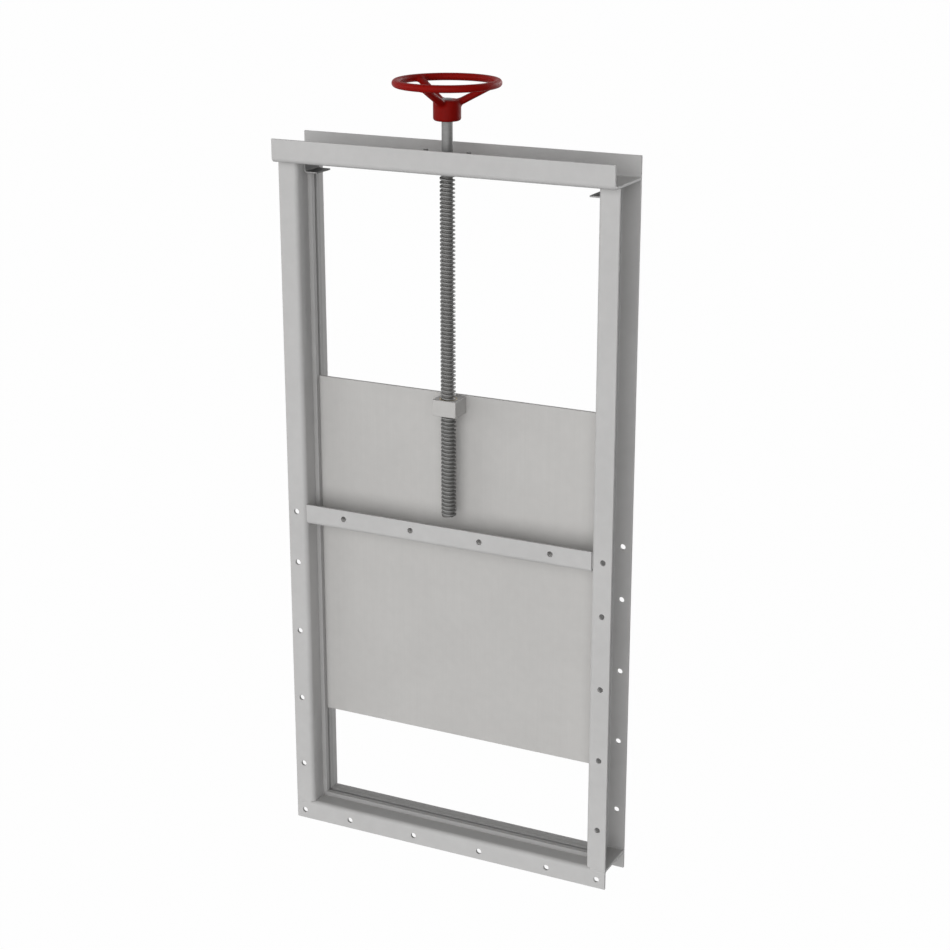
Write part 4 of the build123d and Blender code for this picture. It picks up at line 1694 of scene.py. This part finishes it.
class DAMPER_OT_blade(bpy.types.Operator):
    """Blade plate, its nut block and the bronze nut"""

    bl_idname = "damper.blade"
    bl_label = "Blade"

    def execute(self, context):
        self.plate(context.scene.damper_sheets.edge_radius)
        self.screws()
        self.block()
        nut = turned_piece("spindle_nut", context.scene.damper_screw.crest / 2 + RUNNING_GAP, NUT_EASE)
        finish(nut, finishes["bronze"], "blade", "bronze", "spindle_nut")
        return {"FINISHED"}

    def plate(self, ease):
        """The blade, a sheet without folds, with the holes of the block's screws."""
        low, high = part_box("blade")
        radius, cell = BLADE_SCREW_HOLE / 2, BLADE_SCREW_HOLE * BLADE_SCREW_CELL
        holes = [Hole(0, x - low[0], z - low[2], radius, cell) for x, z in block_screw_places()]
        corners = [(low[0], low[1]), (high[0], low[1])]
        sheet = FoldedSheet(corners, high[2] - low[2], high[1] - low[1], 0, ease, holes)
        piece = sheet_piece("blade_plate", sheet, (0, 0, low[2]), RIGHT, BACK, UP)
        finish(piece, finishes["blade"], "blade", "blade_steel", "blade")

    def screws(self):
        """The block's four screws, on the rear of the blade."""
        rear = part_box("blade")[1][1]
        meshes = [mesh for x, z in block_screw_places() for mesh in block_screw(x, rear, z)]
        finish(joined_piece("block_screws", meshes), finishes["zinc"], "blade", "blade_steel")

    def block(self):
        """The nut block, bored for the nut."""
        low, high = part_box("nut_block")
        nut_low, nut_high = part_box("spindle_nut")
        bore = (nut_high[0] - nut_low[0]) / 2
        x, y = spindle_axis()
        hole = Hole(0, x - low[0], y - low[1], bore, bore + NUT_MARGIN)
        corners = [(low[0], low[2]), (high[0], low[2])]
        sheet = FoldedSheet(corners, high[1] - low[1], high[2] - low[2], 0, BLOCK_EASE, [hole])
        piece = sheet_piece("nut_block_machined", sheet, (0, low[1], 0), RIGHT, UP, BACK)
        finish(piece, finishes["blade"], "blade", "blade_steel", "nut_block")


# Stage


FLOOR_HALF = 60.0
FLOOR_GLOW = 0.985
FLOOR_WHITE = (0.9, 0.9, 0.9, 1.0)
SKY_SEEN = 0.993


def seen_as_background(tree):
    """1 for rays from the camera and for those that gloss or clear surfaces send on, and 0 for others."""
    path = node(tree, "ShaderNodeLightPath").outputs
    seen = maths(tree, "MAXIMUM", path["Is Camera Ray"], path["Is Glossy Ray"])
    return maths(tree, "MAXIMUM", seen, path["Is Transmission Ray"])


def floor_material():
    """A white floor that the camera sees nearly at full white, with the object's shadow kept."""
    material, tree, shader = new_material("white_floor")
    shader.inputs["Base Color"].default_value = FLOOR_WHITE
    shader.inputs["Roughness"].default_value = 1.0
    shader.inputs["Specular IOR Level"].default_value = 0.0
    glow = node(tree, "ShaderNodeEmission", {"Color": (1, 1, 1, 1), "Strength": 1.0})
    share = maths(tree, "MULTIPLY", seen_as_background(tree), FLOOR_GLOW)
    mixed = node(tree, "ShaderNodeMixShader", {0: share, 1: shader.outputs[0], 2: glow.outputs[0]})
    tree.links.new(mixed.outputs[0], tree.nodes["Material Output"].inputs["Surface"])
    return material


class DAMPER_OT_stage(bpy.types.Operator):
    """White floor, even sky, three soft lights and the camera"""

    bl_idname = "damper.stage"
    bl_label = "Studio"

    def execute(self, context):
        studio = context.scene.damper_studio
        self.floor()
        self.sky(context.scene, studio.sky)
        self.sun("key_light", studio.key, studio.key_height, studio.key_turn, studio.key_spread)
        self.sun("rear_light", studio.rear, studio.key_height, studio.rear_turn, studio.fill_spread)
        self.sun("left_light", studio.left, studio.key_height, -studio.left_turn, studio.fill_spread)
        self.camera(context.scene, studio)
        context.scene.view_settings.view_transform = "Standard"
        return {"FINISHED"}

    def floor(self):
        """A wide square at the damper's lowest level, which throws neither shadow nor light on it."""
        level = cad_box[0][2]
        ends = (-FLOOR_HALF, FLOOR_HALF)
        mesh = bpy.data.meshes.new("studio_floor")
        mesh.from_pydata([(x, y, level) for y in ends for x in ends], [], [(0, 1, 3, 2)])
        mesh.materials.append(floor_material())
        floor = linked("studio_floor", mesh)
        floor.visible_shadow = False
        floor.visible_diffuse = False

    def sky(self, scene, strength):
        """An even sky, as white as the floor where it is seen directly or in a reflection."""
        scene.world = bpy.data.worlds.new("studio_sky")
        scene.world.use_nodes = True
        tree = scene.world.node_tree
        background = tree.nodes["Background"]
        background.inputs["Color"].default_value = (1, 1, 1, 1)
        shown = remap(tree, seen_as_background(tree), 0.0, 1.0, strength, SKY_SEEN)
        tree.links.new(shown, background.inputs["Strength"])

    def sun(self, name, strength, height, turn, spread):
        """A broad sun, so high above the horizon and so far to the right of the front."""
        lamp = bpy.data.lights.new(name, "SUN")
        lamp.energy = strength
        lamp.angle = spread
        light = bpy.data.objects.new(name, lamp)
        light.rotation_euler = (math.pi / 2 - height, 0, turn)
        bpy.context.scene.collection.objects.link(light)

    def camera(self, scene, studio):
        """The camera of the photograph."""
        lens = bpy.data.cameras.new("camera")
        lens.lens = studio.lens
        lens.sensor_width = 36
        lens.clip_end = 200
        camera = bpy.data.objects.new("camera", lens)
        camera.location = studio.camera_place
        camera.rotation_euler = (math.pi / 2 - studio.elevation, 0, studio.azimuth)
        scene.collection.objects.link(camera)
        scene.camera = camera


class DAMPER_PT_panel(bpy.types.Panel):
    """Lists the damper's pieces and its settings"""

    bl_idname = "DAMPER_PT_panel"
    bl_label = "Isolation Damper"
    bl_space_type = "VIEW_3D"
    bl_region_type = "UI"
    bl_category = "Damper"

    def draw(self, context):
        for operator in OPERATORS:
            self.layout.operator(operator.bl_idname)
        for name, group in SETTINGS.items():
            for setting in group.__annotations__:
                self.layout.prop(getattr(context.scene, name), setting)


SETTINGS = {
    "damper_sheets": DamperSheets,
    "damper_screw": DamperScrew,
    "damper_wheel": DamperWheel,
    "damper_colours": DamperColours,
    "damper_studio": DamperStudio,
}
OPERATORS = (
    DAMPER_OT_frame,
    DAMPER_OT_guides,
    DAMPER_OT_welds,
    DAMPER_OT_bearing,
    DAMPER_OT_spindle,
    DAMPER_OT_handwheel,
    DAMPER_OT_blade,
    DAMPER_OT_stage,
)

shared_effects = {}
finishes = {}


def register():
    """Registers the settings, the operators and the panel."""
    for name, group in SETTINGS.items():
        bpy.utils.register_class(group)
        setattr(bpy.types.Scene, name, PointerProperty(type=group))
    for operator in OPERATORS:
        bpy.utils.register_class(operator)
    bpy.utils.register_class(DAMPER_PT_panel)


def unregister():
    """Takes them all out again."""
    bpy.utils.unregister_class(DAMPER_PT_panel)
    for operator in reversed(OPERATORS):
        bpy.utils.unregister_class(operator)
    for name, group in SETTINGS.items():
        delattr(bpy.types.Scene, name)
        bpy.utils.unregister_class(group)


def main():
    """Registers the add-on and makes every piece in order."""
    register()
    shared_effects.update(built_groups())
    finishes.update(built_materials())
    bpy.ops.damper.frame()
    bpy.ops.damper.guides()
    bpy.ops.damper.welds()
    bpy.ops.damper.bearing()
    bpy.ops.damper.spindle()
    bpy.ops.damper.handwheel()
    bpy.ops.damper.blade()
    bpy.ops.damper.stage()


if __name__ == "__main__":
    main()
